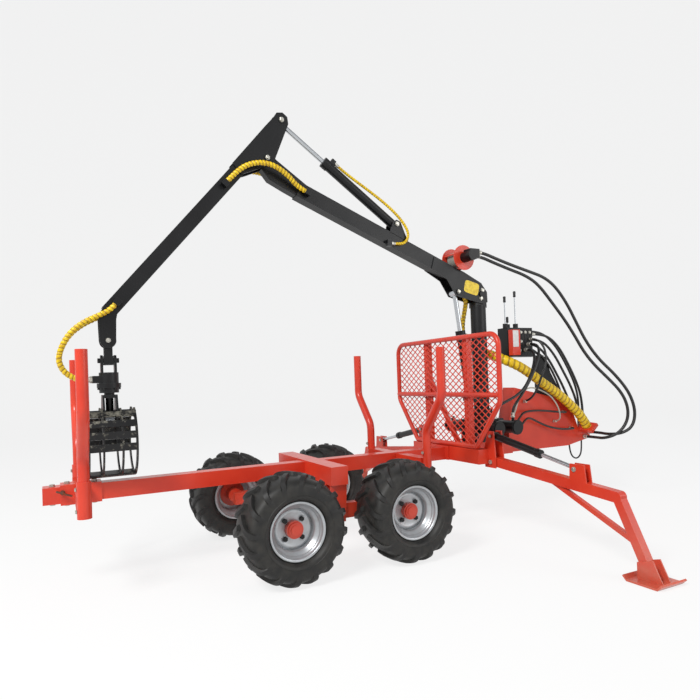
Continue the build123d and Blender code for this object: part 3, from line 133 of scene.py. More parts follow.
camera_data.shift_y = IMAGE_SHIFT / PHOTO_WIDTH
camera = bpy.data.objects.new("camera", camera_data)
stand(camera, right, up, -forward, CAMERA_PLACE)
bpy.context.scene.camera = camera

paper, tree = empty_material("backdrop_paper")
lit = node(tree, "BsdfDiffuse", {"Color": linear("#F4F4F2")})
glow = node(tree, "Emission", {"Color": linear("#FFFFFF"), "Strength": 1.0})
path = node(tree, "LightPath")
seen = node(tree, "Math", {0: path.outputs["Is Camera Ray"], 1: path.outputs["Is Glossy Ray"]},
            operation="MAXIMUM")
share = node(tree, "Math", {0: seen, 1: 0.80}, operation="MULTIPLY")
mixed = node(tree, "MixShader", {0: share, 1: lit, 2: glow})
node(tree, "OutputMaterial", {"Surface": mixed})
# Floor and wall: a profile of (radius, height) carried round Z. The wall lets the sky's light through.
FLOOR_R, BEND_R, WALL_TOP = 15, 5, 18
turn = np.linspace(0, 2 * np.pi, 96, endpoint=False)
bend = np.linspace(0, np.pi / 2, 12)
wall_r = np.concatenate([FLOOR_R + BEND_R * np.sin(bend), [FLOOR_R + BEND_R]])
wall_z = np.concatenate([BEND_R - BEND_R * np.cos(bend), [WALL_TOP]])
for stage_name, radius, height in (("floor", np.array([0.01, 4.0, 9.0, FLOOR_R]), np.zeros(4)),
                                   ("backdrop", wall_r, wall_z)):
    sheet = np.stack([radius[:, None] * np.cos(turn), radius[:, None] * np.sin(turn),
                      height[:, None] + 0 * turn], -1)
    sheet_faces = grid_faces(len(radius), len(turn), wrap_columns=True).tolist()
    stage = mesh_object(stage_name, sheet.reshape(-1, 3), sheet_faces, paper)
stage.visible_shadow = False
stage.visible_diffuse = False

world = bpy.data.worlds.new("sky")
world.use_nodes = True
bpy.context.scene.world = world
world.node_tree.nodes["Background"].inputs["Color"].default_value = linear("#F4F6FA")
world.node_tree.nodes["Background"].inputs["Strength"].default_value = 0.42
for lamp_name, place, aim, size, power in (
        ("key_lamp", (-6.2, -3.6, 6.8), (0, 0, 0.9), 2.6, 640),
        ("fill_lamp", (4.5, -6.5, 3.5), (0, 0, 1.0), 4.0, 130)):
    lamp_data = bpy.data.lights.new(lamp_name, "AREA")
    lamp_data.size = size
    lamp_data.energy = power
    lamp = bpy.data.objects.new(lamp_name, lamp_data)
    back = np.array(place) - np.array(aim)
    back = back / np.linalg.norm(back)
    side = np.cross([0, 0, 1.0], back)
    side = side / np.linalg.norm(side)
    stand(lamp, side, np.cross(back, side), back, place)
bpy.context.scene.view_settings.view_transform = "Standard"

# Welded frame: square tubes and folded plate, sprayed with orange-red enamel after welding. Enamel gives a
# soft gloss with a fine orange peel; it thins over sharp edges, and road dust settles on it near the ground.


def dress(names, material):
    """Give CAD nodes a material in all their slots."""
    for name in names:
        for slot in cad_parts[name].material_slots:
            slot.material = material


def worn_edges(tree, where, patch):
    """Share of wear: where a normal rounded over 3 mm leaves the face's own, in patches of a size in m."""
    rounded = node(tree, "Bevel", {"Radius": 0.003}, samples=4)
    face = node(tree, "NewGeometry")
    agree = node(tree, "VectorMath", {0: rounded, 1: face.outputs["Normal"]}, operation="DOT_PRODUCT")
    edge = node(tree, "MapRange", {"Value": agree, "From Min": 0.99, "From Max": 0.85})
    broken = node(tree, "TexNoise", {"Vector": where, "Scale": 1 / patch, "Detail": 5.0})
    return node(tree, "Math", {0: edge, 1: broken}, operation="MULTIPLY")


red_enamel, tree = empty_material("red_enamel_on_steel")
where = node(tree, "TexCoord").outputs["Object"]
drift = node(tree, "TexNoise", {"Vector": where, "Scale": 1 / 0.35, "Detail": 4.0})
tone = node(tree, "ValToRGB", {"Fac": drift}, stops=((0.3, "#C9301C"), (0.7, "#DB4128")))
worn = worn_edges(tree, where, 0.015)
thin = node(tree, "Mix", {"Factor": worn, "A": tone, "B": linear("#E8735C")}, data_type="RGBA")
# Dust: from the ground up to 450 mm, in 60 mm clouds
spot = node(tree, "SeparateXYZ", {"Vector": where})
low = node(tree, "MapRange", {"Value": spot.outputs["Z"], "From Min": 0.45, "From Max": 0.0, "To Max": 0.5})
cloud = node(tree, "TexNoise", {"Vector": where, "Scale": 1 / 0.06, "Detail": 6.0})
settled = node(tree, "Math", {0: low, 1: cloud}, operation="MULTIPLY")
dusty = node(tree, "Mix", {"Factor": settled, "A": thin, "B": linear("#B59A80")}, data_type="RGBA")
gloss = node(tree, "MapRange", {"Value": cloud, "To Min": 0.24, "To Max": 0.44})
# Orange peel is about 2 mm across, and drawn at 6 mm to show
peel = node(tree, "TexNoise", {"Vector": where, "Scale": 1 / 0.006, "Detail": 2.0})
bump = node(tree, "Bump", {"Height": peel, "Strength": 0.08, "Distance": 0.001})
enamel = node(tree, "BsdfPrincipled", {
    "Base Color": dusty, "Roughness": gloss, "Normal": bump, "Coat Weight": 0.2, "Coat Roughness": 0.15,
    "Specular IOR Level": 0.4})
node(tree, "OutputMaterial", {"Surface": enamel})
dress(["spine", "rear_bunk", "rear_stakes", "front_bunk", "bogie_crossbeam", "bogie_beam_left",
       "bogie_beam_right", "headboard_frame", "front_beam", "crane_base", "drawbar", "outrigger_left",
       "outrigger_right", "winch_frame"], red_enamel)

# Fasteners: zinc-plated hexagon bolts with washers, which hold the bunks' sleeve, the stakes and the pins.
# Zinc shows as a pale, slightly yellow metal with a fine mottle.
zinc_plate, tree = empty_material("zinc_plated_steel")
where = node(tree, "TexCoord").outputs["Object"]
mottle = node(tree, "TexNoise", {"Vector": where, "Scale": 1 / 0.006, "Detail": 4.0})
tone = node(tree, "ValToRGB", {"Fac": mottle}, stops=((0.0, "#9C9A92"), (1.0, "#DAD8CE")))
gloss = node(tree, "MapRange", {"Value": mottle, "To Min": 0.25, "To Max": 0.48})
zinc = node(tree, "BsdfPrincipled", {"Base Color": tone, "Metallic": 0.85, "Roughness": gloss})
node(tree, "OutputMaterial", {"Surface": zinc})


def capped(rings, foot, tip):
    """Rings of points (rows, turns, 3) as a closed shape, whose ends are drawn to a foot and a tip point."""
    rows, turns = rings.shape[:2]
    faces = grid_faces(rows, turns, wrap_columns=True).tolist()
    ends, last = rows * turns, (rows - 1) * turns
    faces += [(ends, (k + 1) % turns, k) for k in range(turns)]
    faces += [(ends + 1, last + k, last + (k + 1) % turns) for k in range(turns)]
    return np.concatenate([rings.reshape(-1, 3), [foot, tip]]), faces


def turned(profile, turns):
    """Solid turned about Z from (radius, height) pairs, from axis to axis: (r cos t, r sin t, h)."""
    radius, height = np.array(profile, float).T
    t = np.linspace(0, 2 * np.pi, turns, endpoint=False)
    r, h = radius[1:-1, None], height[1:-1, None]
    rings = np.stack([r * np.cos(t), r * np.sin(t), h + 0 * t], -1)
    return capped(rings, (0, 0, height[0]), (0, 0, height[-1]))


def joined(shapes):
    """Several (vertices, faces) as one: each shape's faces count on from the vertices before it."""
    starts = np.cumsum([0] + [len(vertices) for vertices, faces in shapes]).tolist()
    all_faces = []
    for start, (vertices, faces) in zip(starts, shapes):
        all_faces += [tuple(k + start for k in face) for face in faces]
    return np.concatenate([vertices for vertices, faces in shapes]), all_faces


def copies(shapes, seats):
    """All shapes at all seats as one, in metres. A seat is a place in mm and the direction Z is turned to."""
    placed = []
    for place, direction in seats:
        z = np.array(direction, float) / np.linalg.norm(direction)
        x = np.cross([0.0, 1.0, 0.0] if abs(z[1]) < 0.9 else [1.0, 0.0, 0.0], z)
        x = x / np.linalg.norm(x)
        axes = np.stack([x, np.cross(z, x), z])
        placed += [((np.array(place) + vertices @ axes) / 1000, faces) for vertices, faces in shapes]
    return joined(placed)


def hex_bolt(size):
    """A washer and a hexagon head for a thread of this size in mm, both drawn in thread sizes."""
    washer = np.array([(0, 0), (1.15, 0), (1.2, 0.05), (1.2, 0.2), (0, 0.2)])
    head = np.array([(0, 0.1), (1, 0.1), (1, 0.75), (0.86, 0.86), (0, 0.86)])
    return [turned(washer * size, 24), turned(head * size, 6)]


def plated_piece(name, shapes, seats, body):
    """Zinc-plated shapes at their seats, as one piece that rides on a body."""
    piece = mesh_object(name, *copies(shapes, seats), zinc_plate, 25)
    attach(piece, body)


# Sign of Y on each hand. The outriggers' pins lie along X, half their length each way from OUTRIGGER_X
HAND = {"right": -1, "left": 1}
OUTRIGGER_X = 724
# Columns: piece, thread, seats, body
FASTENERS = [
    ("tail_bolts", 15, [((-2269, 0, 625), (0, 0, 1)), ((-2269, 0, 525), (0, 0, -1))]
     + [((x, 0, z), (0, 0, way)) for z, way in ((635, 1), (515, -1)) for x in (-2190, -2040)], "frame"),
    ("stake_bolts", 10, [((x - 38, y, z), (-1, 0, 0))
                         for x in (-2113, 134) for y in (-411, 411) for z in (535, 655)], "frame"),
    ("bogie_pin_bolts", 18, [((-608, s * 473, 330), (0, s, 0)) for s in HAND.values()], "frame"),
]
for hand, s in HAND.items():
    arm_pins = [((OUTRIGGER_X + way * half, s * y, z), (way, 0, 0))
                for half, y, z in ((52, 463, 540), (28, 1227, 575)) for way in (-1, 1)]
    cylinder_pin = [((OUTRIGGER_X + way * 50, s * 463, 733), (way, 0, 0)) for way in (-1, 1)]
    FASTENERS += [(f"outrigger_pin_bolts_{hand}", 14, arm_pins, f"outrigger_{hand}_arm"),
                  (f"cylinder_pin_bolts_{hand}", 11, cylinder_pin, f"outrigger_{hand}_cylinder")]
for name, size, seats, body in FASTENERS:
    plated_piece(name, hex_bolt(size), seats, body)

# Clamp screw: a bar welded across a round stem, screwed into the side of the rear bunk's sleeve to hold it on
# the spine. It is bare steel, brown with rust in patches and dull where it rusts.
rusty_steel, tree = empty_material("rusty_bare_steel")
where = node(tree, "TexCoord").outputs["Object"]
rust = node(tree, "TexNoise", {"Vector": where, "Scale": 1 / 0.01, "Detail": 7.0})
tone = node(tree, "ValToRGB", {"Fac": rust}, stops=((0.4, "#5A5048"), (0.62, "#8A4A2C")))
gloss = node(tree, "MapRange", {"Value": rust, "To Min": 0.4, "To Max": 0.8})
iron = node(tree, "BsdfPrincipled", {"Base Color": tone, "Metallic": 0.6, "Roughness": gloss})
node(tree, "OutputMaterial", {"Surface": iron})
screw = turned([(0, 0), (14, 0), (14, 9), (8, 10), (8, 36), (0, 37)], 20)
bar = turned([(0, -46), (5, -46), (6, -45), (6, 45), (5, 46), (0, 46)], 16)
stem = copies([screw], [((-2214, -60, 592), (0, -1, 0))])
handle = copies([bar], [((-2206, -90, 588), (0.92, 0, -0.39))])
screw_piece = mesh_object("sleeve_clamp_screw", *joined([stem, handle]), rusty_steel)
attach(screw_piece, "frame")

# Tyres: balloon tyres of black rubber, moulded with slanted lugs on both halves of the tread. Rubber is dull,
# with a bloom of grey dust in the hollows, and the lugs' tops are scuffed darker.
WHEELS = [(end, hand) for end in ("rear", "front") for hand in ("right", "left")]
WHEEL_X = {"rear": -1010.5, "front": -205.5}
AXLE_Z, TRACK_HALF = 330.0, 628.0
# Carcass: half its width, its radii, its squareness, then the bead's way in from the side and down from the
# widest place, and the bead's heel
TYRE_HALF, CROWN_R, WIDEST_R, SQUARENESS, BEAD_IN, BEAD_DOWN = 156.0, 308.0, 226.0, 3.6, 40, 49
HEEL_Y, HEEL_R = 116.0, 163.5
# Lugs: number, slant, the slant's radius, then in radians half a lug at foot and top, and the gap's middle
LUGS, SLANT, SLANT_R = 16, np.radians(32), 318
LUG_FOOT, LUG_TOP, LUG_GAP = 0.064, 0.047, 0.098

tyre_rubber, tree = empty_material("tyre_rubber")
where = node(tree, "TexCoord").outputs["Object"]
dust = node(tree, "TexNoise", {"Vector": where, "Scale": 1 / 0.05, "Detail": 8.0})
tone = node(tree, "ValToRGB", {"Fac": dust}, stops=((0.35, "#121211"), (0.75, "#2E2C28")))
lug_share = node(tree, "Attribute", attribute_name="lug")
scuffed = node(tree, "Mix", {"Factor": lug_share.outputs["Fac"], "A": tone, "B": linear("#1B1A19")},
               data_type="RGBA")
# The mould's grain is under 1 mm, and drawn at 4 mm to show
grit = node(tree, "TexNoise", {"Vector": where, "Scale": 1 / 0.004, "Detail": 3.0})
bump = node(tree, "Bump", {"Height": grit, "Strength": 0.18, "Distance": 0.001})
gloss = node(tree, "MapRange", {"Value": dust, "To Min": 0.42, "To Max": 0.68})
rubber = node(tree, "BsdfPrincipled", {
    "Base Color": scuffed, "Roughness": gloss, "Normal": bump, "Specular IOR Level": 0.45})
node(tree, "OutputMaterial", {"Surface": rubber})

# Rows from the crown to the bead, columns: share of half the width, lug's height in mm
TREAD = np.array([(0.0, 0), (0.03, 0), (0.075, 20.5), (0.2, 20.5), (0.35, 20.5), (0.5, 20.5), (0.62, 20.5),
                  (0.72, 20), (0.80, 18), (0.86, 15.5), (0.91, 12.5), (0.95, 9), (0.975, 5.5), (0.99, 2.5),
                  (1.0, 0)])
BEAD_V = np.array([0.12, 0.22, 0.26, 0.30, 0.45, 0.6, 0.75, 0.9, 1.0])
BEAD_RIB = np.array([0, 0, 2.0, 0, 0, 0, 0, 0, 0])


def at_wheel(points, end, hand):
    """A wheel's points about its centre, drawn with the outer side at -Y, in their place in metres."""
    spin = np.array([-HAND[hand], -HAND[hand], 1.0])
    return (np.array([WHEEL_X[end], HAND[hand] * TRACK_HALF, AXLE_Z]) + points.reshape(-1, 3) * spin) / 1000


def tyre_shape():
    """Points (rows, columns, 3) about the Y axis and the lugs' share.

    Carcass: (y / half)^n + ((r - widest) / (crown - widest))^n = 1 outside, and from the widest place to the
    bead y = half - in v^4, r = widest - down v. A lug rises along the normal between columns that follow its
    slant: angle = psi - (|y| - half / 2) tan(slant) / R.
    """
    out_y = TREAD[:, 0] * TYRE_HALF
    out_r = WIDEST_R + (CROWN_R - WIDEST_R) * (1 - TREAD[:, 0] ** SQUARENESS) ** (1 / SQUARENESS)
    in_y = TYRE_HALF - BEAD_IN * BEAD_V ** 4
    in_r = WIDEST_R - BEAD_DOWN * BEAD_V
    y = np.concatenate([out_y, in_y, [HEEL_Y]])
    r = np.concatenate([out_r, in_r, [HEEL_R]])
    rise = np.concatenate([TREAD[:, 1], BEAD_RIB, [0]])
    tread_share = np.concatenate([np.ones(len(TREAD)), np.zeros(len(BEAD_V) + 1)])
    slope_y, slope_r = np.gradient(y), np.gradient(r)
    normal = np.stack([-slope_r, slope_y], -1) / np.hypot(slope_y, slope_r)[:, None]
    swept = np.concatenate([out_y, np.full(len(BEAD_V) + 1, TYRE_HALF)])
    pitch = 2 * np.pi / LUGS
    edge = np.array([-LUG_FOOT, -LUG_TOP, 0, LUG_TOP, LUG_FOOT])
    psi = np.concatenate([edge, [LUG_GAP], pitch / 2 + edge, [pitch - LUG_GAP]])
    on_lug = np.array([0, 1, 1, 1, 0] + [0] * 7, float)
    off_lug = np.array([0] * 6 + [0, 1, 1, 1, 0] + [0], float)
    psi = (psi[None, :] + pitch * np.arange(LUGS)[:, None]).ravel()
    sides = []
    for sign, lugs_here in ((1, np.tile(on_lug, LUGS)), (-1, np.tile(off_lug, LUGS))):
        lift = np.where(tread_share[:, None] > 0, lugs_here[None, :], 1.0) * rise[:, None]
        yy = y[:, None] + lift * normal[:, :1]
        rr = r[:, None] + lift * normal[:, 1:]
        angle = psi[None, :] - (swept[:, None] - TYRE_HALF / 2) * np.tan(SLANT) / SLANT_R
        points = np.stack([rr * np.sin(angle), sign * yy, rr * np.cos(angle)], -1)
        sides.append((points, tread_share[:, None] * lugs_here[None, :] * (rise[:, None] > 0)))
    points = np.concatenate([sides[1][0][:0:-1], sides[0][0]])
    lug = np.concatenate([sides[1][1][:0:-1], sides[0][1]])
    return points, lug


tyre_points, lug_mask = tyre_shape()
tyre_faces = grid_faces(*tyre_points.shape[:2], wrap_rows=True, wrap_columns=True).tolist()
for end, hand in WHEELS:
    tyre = mesh_object(f"lugged_tyre_{end}_{hand}", at_wheel(tyre_points, end, hand),
                       tyre_faces, tyre_rubber, 38)
    tyre.data.attributes.new("lug", "FLOAT", "POINT").data.foreach_set("value", lug_mask.ravel())
    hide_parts(f"tyre_{end}_{hand}")
    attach(tyre, f"wheel_{end}_{hand}")

# Rims: rolled steel barrels with stepped bead seats and a pressed disc, in silver wheel paint with a film of
# dirt, on red hubs. Four black nuts hold each one.
silver_paint, tree = empty_material("silver_wheel_paint")
where = node(tree, "TexCoord").outputs["Object"]
# Metal flake is far finer, and drawn at 3 mm to show
flake = node(tree, "TexNoise", {"Vector": where, "Scale": 1 / 0.003, "Detail": 2.0})
tone = node(tree, "ValToRGB", {"Fac": flake}, stops=((0.0, "#9FA3A7"), (1.0, "#C6C9CB")))
film = node(tree, "TexNoise", {"Vector": where, "Scale": 1 / 0.04, "Detail": 6.0})
haze = node(tree, "MapRange", {"Value": film, "From Min": 0.5, "From Max": 0.8, "To Max": 0.35})
dirty = node(tree, "Mix", {"Factor": haze, "A": tone, "B": linear("#8B8478")}, data_type="RGBA")
gloss = node(tree, "MapRange", {"Value": film, "To Min": 0.26, "To Max": 0.46})
silver = node(tree, "BsdfPrincipled", {"Base Color": dirty, "Metallic": 0.6, "Roughness": gloss})
node(tree, "OutputMaterial", {"Surface": silver})
dress([f"hub_{end}_{hand}" for end, hand in WHEELS], red_enamel)

# Closed outlines of (radius, Y) on the wheel's outer side at -Y: the barrel, then the disc
BARREL = [(173, -119), (174, -122), (172.5, -124.6), (168, -125), (163, -124), (159.5, -121), (157.3, -116),
          (156.7, -106), (153.5, -101), (150.5, -97), (149.8, -91), (147, -87), (138.5, -78), (129, -70),
          (124.6, -64), (122.7, -57), (122.7, 57), (124.6, 64), (138.5, 78), (156.7, 87), (156.7, 121),
          (160, 125), (171, 125), (174, 122), (173, 119), (162.7, 119), (162.7, 88), (160, 84), (131, 69),
          (128.7, 66), (128.7, -66), (131, -69), (160, -84), (162.7, -88), (162.7, -119)]
DISC = [(53, -37), (62, -38), (92, -38), (98, -41), (104, -42), (110, -41), (116, -37), (122.6, -33),
        (122.6, -27), (53, -27)]


def ring_points(outline, turns):
    """A closed ring: an outline of (radius, Y) carried round the Y axis, (r sin t, y, r cos t)."""
    radius, y = np.array(outline, float).T
    t = np.linspace(0, 2 * np.pi, turns, endpoint=False)
    points = np.stack([radius[:, None] * np.sin(t), y[:, None] + 0 * t, radius[:, None] * np.cos(t)], -1)
    faces = grid_faces(len(outline), turns, wrap_rows=True, wrap_columns=True)
    return points.reshape(-1, 3), faces[:, ::-1].tolist()


rim_points, rim_faces = joined([ring_points(BARREL, 96), ring_points(DISC, 96)])
for end, hand in WHEELS:
    rim = mesh_object(f"stepped_rim_{end}_{hand}", at_wheel(rim_points, end, hand),
                      rim_faces, silver_paint, 30)
    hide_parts(f"rim_{end}_{hand}")
    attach(rim, f"wheel_{end}_{hand}")

# Headboard mesh: expanded sheet, slit and drawn into diamonds whose strands lie askew, welded into the pipe
# frame and sprayed with it. Strands are clipped to the frame's inside.
MESH_X, MESH_PITCH_Z, MESH_SLOPE = (613.0, 616.3), 52.0, np.tan(np.radians(34.5))
STRAND_HALF_WIDTH, STRAND_HALF_THICK, STRAND_LEAN, SHORTEST_STRAND = 3.6, 1.7, 0.35, 25
# Heights on the middle line between which strands are started, well past the frame
LOWEST_START, HIGHEST_START = 200, 2000
INSIDE = [(-383, 669), (-658, 1002), (-658, 1410), (-640, 1455), (-600, 1479), (600, 1479), (640, 1455),
          (658, 1410), (658, 1002), (383, 669)]


def clipped_strands(slope, pitch):
    """Ends (Y, Z) of the lines z = z0 + slope y that lie inside the convex outline, by its half-planes."""
    corner = np.array(INSIDE, float)
    along = np.roll(corner, -1, 0) - corner
    inward = np.stack([along[:, 1], -along[:, 0]], -1)
    inward *= np.sign(((corner.mean(0) - corner) * inward).sum(1))[:, None]
    z0 = np.arange(LOWEST_START, HIGHEST_START, pitch)
    line = np.stack([0 * z0, z0], -1)
    step = np.array([1.0, slope])
    gain = inward @ step
    need = ((corner[None] - line[:, None]) * inward[None]).sum(2) / gain[None]
    start = np.where(gain > 0, need, -np.inf).max(1)
    stop = np.where(gain < 0, need, np.inf).min(1)
    keep = stop - start > SHORTEST_STRAND
    return line[keep] + start[keep, None] * step, line[keep] + stop[keep, None] * step


def strand_mesh(starts, stops, x, lean):
    """Bars from starts to stops in a plane of constant X: rectangles turned by lean about their length."""
    along = (stops - starts) / np.linalg.norm(stops - starts, axis=1)[:, None]
    across = np.stack([-along[:, 1], along[:, 0]], -1)
    corners = np.array([(-1, -1), (1, -1), (1, 1), (-1, 1)]) * (STRAND_HALF_WIDTH, STRAND_HALF_THICK)
    leaned = corners @ np.array([[np.cos(lean), np.sin(lean)], [-np.sin(lean), np.cos(lean)]])
    ends = []
    for point in (starts, stops):
        yz = point[:, None] + leaned[None, :, :1] * across[:, None]
        ends.append(np.concatenate([np.broadcast_to(x + leaned[None, :, 1:], (*yz.shape[:2], 1)), yz], -1))
    vertices = np.stack(ends, 1).reshape(-1, 3)
    bar_faces = np.array([(0, 1, 5, 4), (1, 2, 6, 5), (2, 3, 7, 6), (3, 0, 4, 7), (3, 2, 1, 0), (4, 5, 6, 7)])
    return vertices, (np.arange(len(starts))[:, None, None] * 8 + bar_faces[None]).reshape(-1, 4)


strands = [strand_mesh(*clipped_strands(sign * MESH_SLOPE, MESH_PITCH_Z), x, STRAND_LEAN * sign)
           for sign, x in zip((1, -1), MESH_X)]
mesh_points, mesh_faces = joined(strands)
diamond_mesh = mesh_object("expanded_mesh", mesh_points / 1000, mesh_faces, red_enamel, 25)
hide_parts("headboard_mesh")
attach(diamond_mesh, "frame")

# Crane: welded box arms, column and slew housing in black satin enamel. It is nearly black, with a broad soft
# sheen, faint dust and paler edges.
black_enamel, tree = empty_material("black_satin_enamel")
where = node(tree, "TexCoord").outputs["Object"]
drift = node(tree, "TexNoise", {"Vector": where, "Scale": 1 / 0.2, "Detail": 6.0})
tone = node(tree, "ValToRGB", {"Fac": drift}, stops=((0.35, "#070709"), (0.8, "#101113")))
worn = worn_edges(tree, where, 0.02)
thin = node(tree, "Mix", {"Factor": worn, "A": tone, "B": linear("#4C4D4E")}, data_type="RGBA")
peel = node(tree, "TexNoise", {"Vector": where, "Scale": 1 / 0.007, "Detail": 2.0})
bump = node(tree, "Bump", {"Height": peel, "Strength": 0.08, "Distance": 0.001})
gloss = node(tree, "MapRange", {"Value": drift, "To Min": 0.28, "To Max": 0.5})
satin = node(tree, "BsdfPrincipled", {
    "Base Color": thin, "Roughness": gloss, "Normal": bump, "Specular IOR Level": 0.35})
node(tree, "OutputMaterial", {"Surface": satin})
dress(["column", "boom", "stick", "slew_unit", "lift_barrel", "stick_barrel", "outrigger_barrel_left",
       "outrigger_barrel_right", "winch_motor", "tip_link", "rotator", "grapple_frame", "grapple_barrel",
       "valve_block", "valve_stand"], black_enamel)
# Wheel nuts are blacked like the crane, four on a circle on each rim's disc
NUT_CIRCLE_R, DISC_FACE = 75, 38
nut = [turned([(0, 0), (15.6, 0), (15.6, 13), (13.5, 15.5), (0, 15.5)], 6)]
for end, hand in WHEELS:
    seats = [((WHEEL_X[end] + NUT_CIRCLE_R * np.cos(quarter), HAND[hand] * (TRACK_HALF + DISC_FACE),
               AXLE_Z + NUT_CIRCLE_R * np.sin(quarter)), (0, HAND[hand], 0))
             for quarter in np.radians((45, 135, 225, 315))]
    nuts = mesh_object(f"wheel_nuts_{end}_{hand}", *copies(nut, seats), black_enamel, 25)
    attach(nuts, f"wheel_{end}_{hand}")

# Crane pins: turned steel pins through the arms' eyes. A zinc-plated bolt and washer at each end keeps a pin
# in its bore.
# Columns: piece, thread, places on the left side, body
CRANE_PINS = [
    ("boom_pin_bolts", 15, [(1002, 53, 1914), (984, 53, 1846)], "crane_boom"),
    ("stick_base_pin_bolts", 15, [(176, 53, 2401)], "crane_boom"),
    ("lift_pin_bolts", 13, [(748, 61, 1893)], "crane_boom"),
    ("elbow_pin_bolts", 14, [(-870, 52, 2770)], "crane_stick"),
    ("stick_eye_pin_bolts", 15, [(-756, 50, 3056)], "crane_stick"),
    ("tip_pin_bolts", 12, [(-1938, 52, 1490)], "crane_stick"),
    ("lift_base_pin_bolts", 13, [(872, 58, 1020)], "crane_column"),
]
for name, size, places, body in CRANE_PINS:
    seats = [((x, s * y, z), (0, s, 0)) for x, y, z in places for s in (-1, 1)]
    plated_piece(name, hex_bolt(size), seats, body)

# Label plates: bare yellow plates with rounded corners, 1.2 mm thick, glued on both sides of the boom's root.
# Printed vinyl gives a clear yellow with a soft gloss, a little scuffed.
yellow_plate, tree = empty_material("yellow_printed_plate")
where = node(tree, "TexCoord").outputs["Object"]
scuff = node(tree, "TexNoise", {"Vector": where, "Scale": 1 / 0.02, "Detail": 6.0})
tone = node(tree, "ValToRGB", {"Fac": scuff}, stops=((0.3, "#C9A812"), (0.6, "#EBCB1E")))
vinyl = node(tree, "BsdfPrincipled", {"Base Color": tone, "Roughness": 0.34})
node(tree, "OutputMaterial", {"Surface": vinyl})


def plate_points(width, height, corner, thick, bevel):
    """A flat plate: a superellipse |u|^n + |v|^n = 1 at 3 levels, the top one drawn in by the bevel."""
    t = np.linspace(0, 2 * np.pi, 64, endpoint=False)
    power = 2 / (2 * min(width, height) / corner)
    u = np.sign(np.cos(t)) * np.abs(np.cos(t)) ** power
    v = np.sign(np.sin(t)) * np.abs(np.sin(t)) ** power
    levels = [(0, 0.0), (0, thick - bevel), (bevel, thick)]
    rings = np.stack([np.stack([u * (width / 2 - inset), v * (height / 2 - inset), 0 * u + rise], -1)
                      for inset, rise in levels])
    return capped(rings, (0, 0, 0), (0, 0, thick))


LABEL_X, LABEL_Z, ROOT_HALF, LABEL_TILT = 888, 1930, 53, np.radians(-14)
label, label_faces = plate_points(width=150, height=104, corner=40, thick=1.2, bevel=0.4)
label_faces = [face[::-1] for face in label_faces]
both_labels = []
for s in (-1, 1):
    x = LABEL_X + label[:, 0] * np.cos(LABEL_TILT) - s * label[:, 1] * np.sin(LABEL_TILT)
    z = LABEL_Z + label[:, 0] * np.sin(LABEL_TILT) + s * label[:, 1] * np.cos(LABEL_TILT)
    both_labels.append((np.stack([x, s * (ROOT_HALF + label[:, 2]), z], -1) / 1000, label_faces))
plates = mesh_object("boom_label_plates", *joined(both_labels), yellow_plate, 30)
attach(plates, "crane_boom")

# Cylinder rods: round steel bars, ground and hard-chromed, that slide in their barrels. Chrome is mirror
# bright and shows the sky and the floor, dulled in clouds by an oily film.
hard_chrome, tree = empty_material("hard_chrome")
where = node(tree, "TexCoord").outputs["Object"]
film = node(tree, "TexNoise", {"Vector": where, "Scale": 1 / 0.03, "Detail": 6.0})
gloss = node(tree, "MapRange", {"Value": film, "To Min": 0.10, "To Max": 0.30})
tone = node(tree, "ValToRGB", {"Fac": film}, stops=((0.0, "#AEB2B6"), (1.0, "#D0D3D6")))
chrome = node(tree, "BsdfPrincipled", {"Base Color": tone, "Metallic": 1.0, "Roughness": gloss})
node(tree, "OutputMaterial", {"Surface": chrome})
dress(["lift_rod", "stick_rod", "outrigger_rod_left", "outrigger_rod_right", "grapple_rod"], hard_chrome)

# Winch: a steel drum between red discs, wound with one layer of grey fibre rope, so that its surface is a row
# of rounded turns: r = 60.2 + 5 |cos(pi (y / pitch - t / 2 pi))|. Fibre is dull and rough, the drum scored.
rope_fibre, tree = empty_material("grey_fibre_rope")
where = node(tree, "TexCoord").outputs["Object"]
strand = node(tree, "TexNoise", {"Vector": where, "Scale": 1 / 0.004, "Detail": 5.0})
tone = node(tree, "ValToRGB", {"Fac": strand}, stops=((0.0, "#6E6B64"), (1.0, "#A9A59B")))
bump = node(tree, "Bump", {"Height": strand, "Strength": 0.4, "Distance": 0.001})
fibre = node(tree, "BsdfPrincipled", {"Base Color": tone, "Roughness": 0.8, "Normal": bump})
node(tree, "OutputMaterial", {"Surface": fibre})
drum_steel, tree = empty_material("worn_drum_steel")
where = node(tree, "TexCoord").outputs["Object"]
score = node(tree, "TexNoise", {"Vector": where, "Scale": 1 / 0.012, "Detail": 6.0})
tone = node(tree, "ValToRGB", {"Fac": score}, stops=((0.0, "#6C6A66"), (1.0, "#A09E9A")))
steel = node(tree, "BsdfPrincipled", {"Base Color": tone, "Metallic": 0.9, "Roughness": 0.42})
node(tree, "OutputMaterial", {"Surface": steel})
dress(["winch_drum"], drum_steel)
DRUM_X, DRUM_Z, ROPE_HALF, ROPE_PITCH = 797, 2172, 62, 11.3
ROPE_R, ROPE_RISE, ROPE_END_R = 60.2, 5, 59.0
rope_y = np.linspace(-ROPE_HALF, ROPE_HALF, 133)
rope_t = np.linspace(0, 2 * np.pi, 72, endpoint=False)
rope_turn = rope_y[:, None] / ROPE_PITCH - rope_t[None] / (2 * np.pi)
rope_r = ROPE_R + ROPE_RISE * np.abs(np.cos(np.pi * rope_turn))
rope_r[[0, -1]] = ROPE_END_R
rope_points = np.stack([DRUM_X + rope_r * np.sin(rope_t), rope_y[:, None] + 0 * rope_r,
                        DRUM_Z + rope_r * np.cos(rope_t)], -1)
rope_faces = grid_faces(len(rope_y), len(rope_t), wrap_rows=True, wrap_columns=True).tolist()
rope = mesh_object("rope_layer", rope_points.reshape(-1, 3) / 1000, rope_faces, rope_fibre, 60)
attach(rope, "drum")

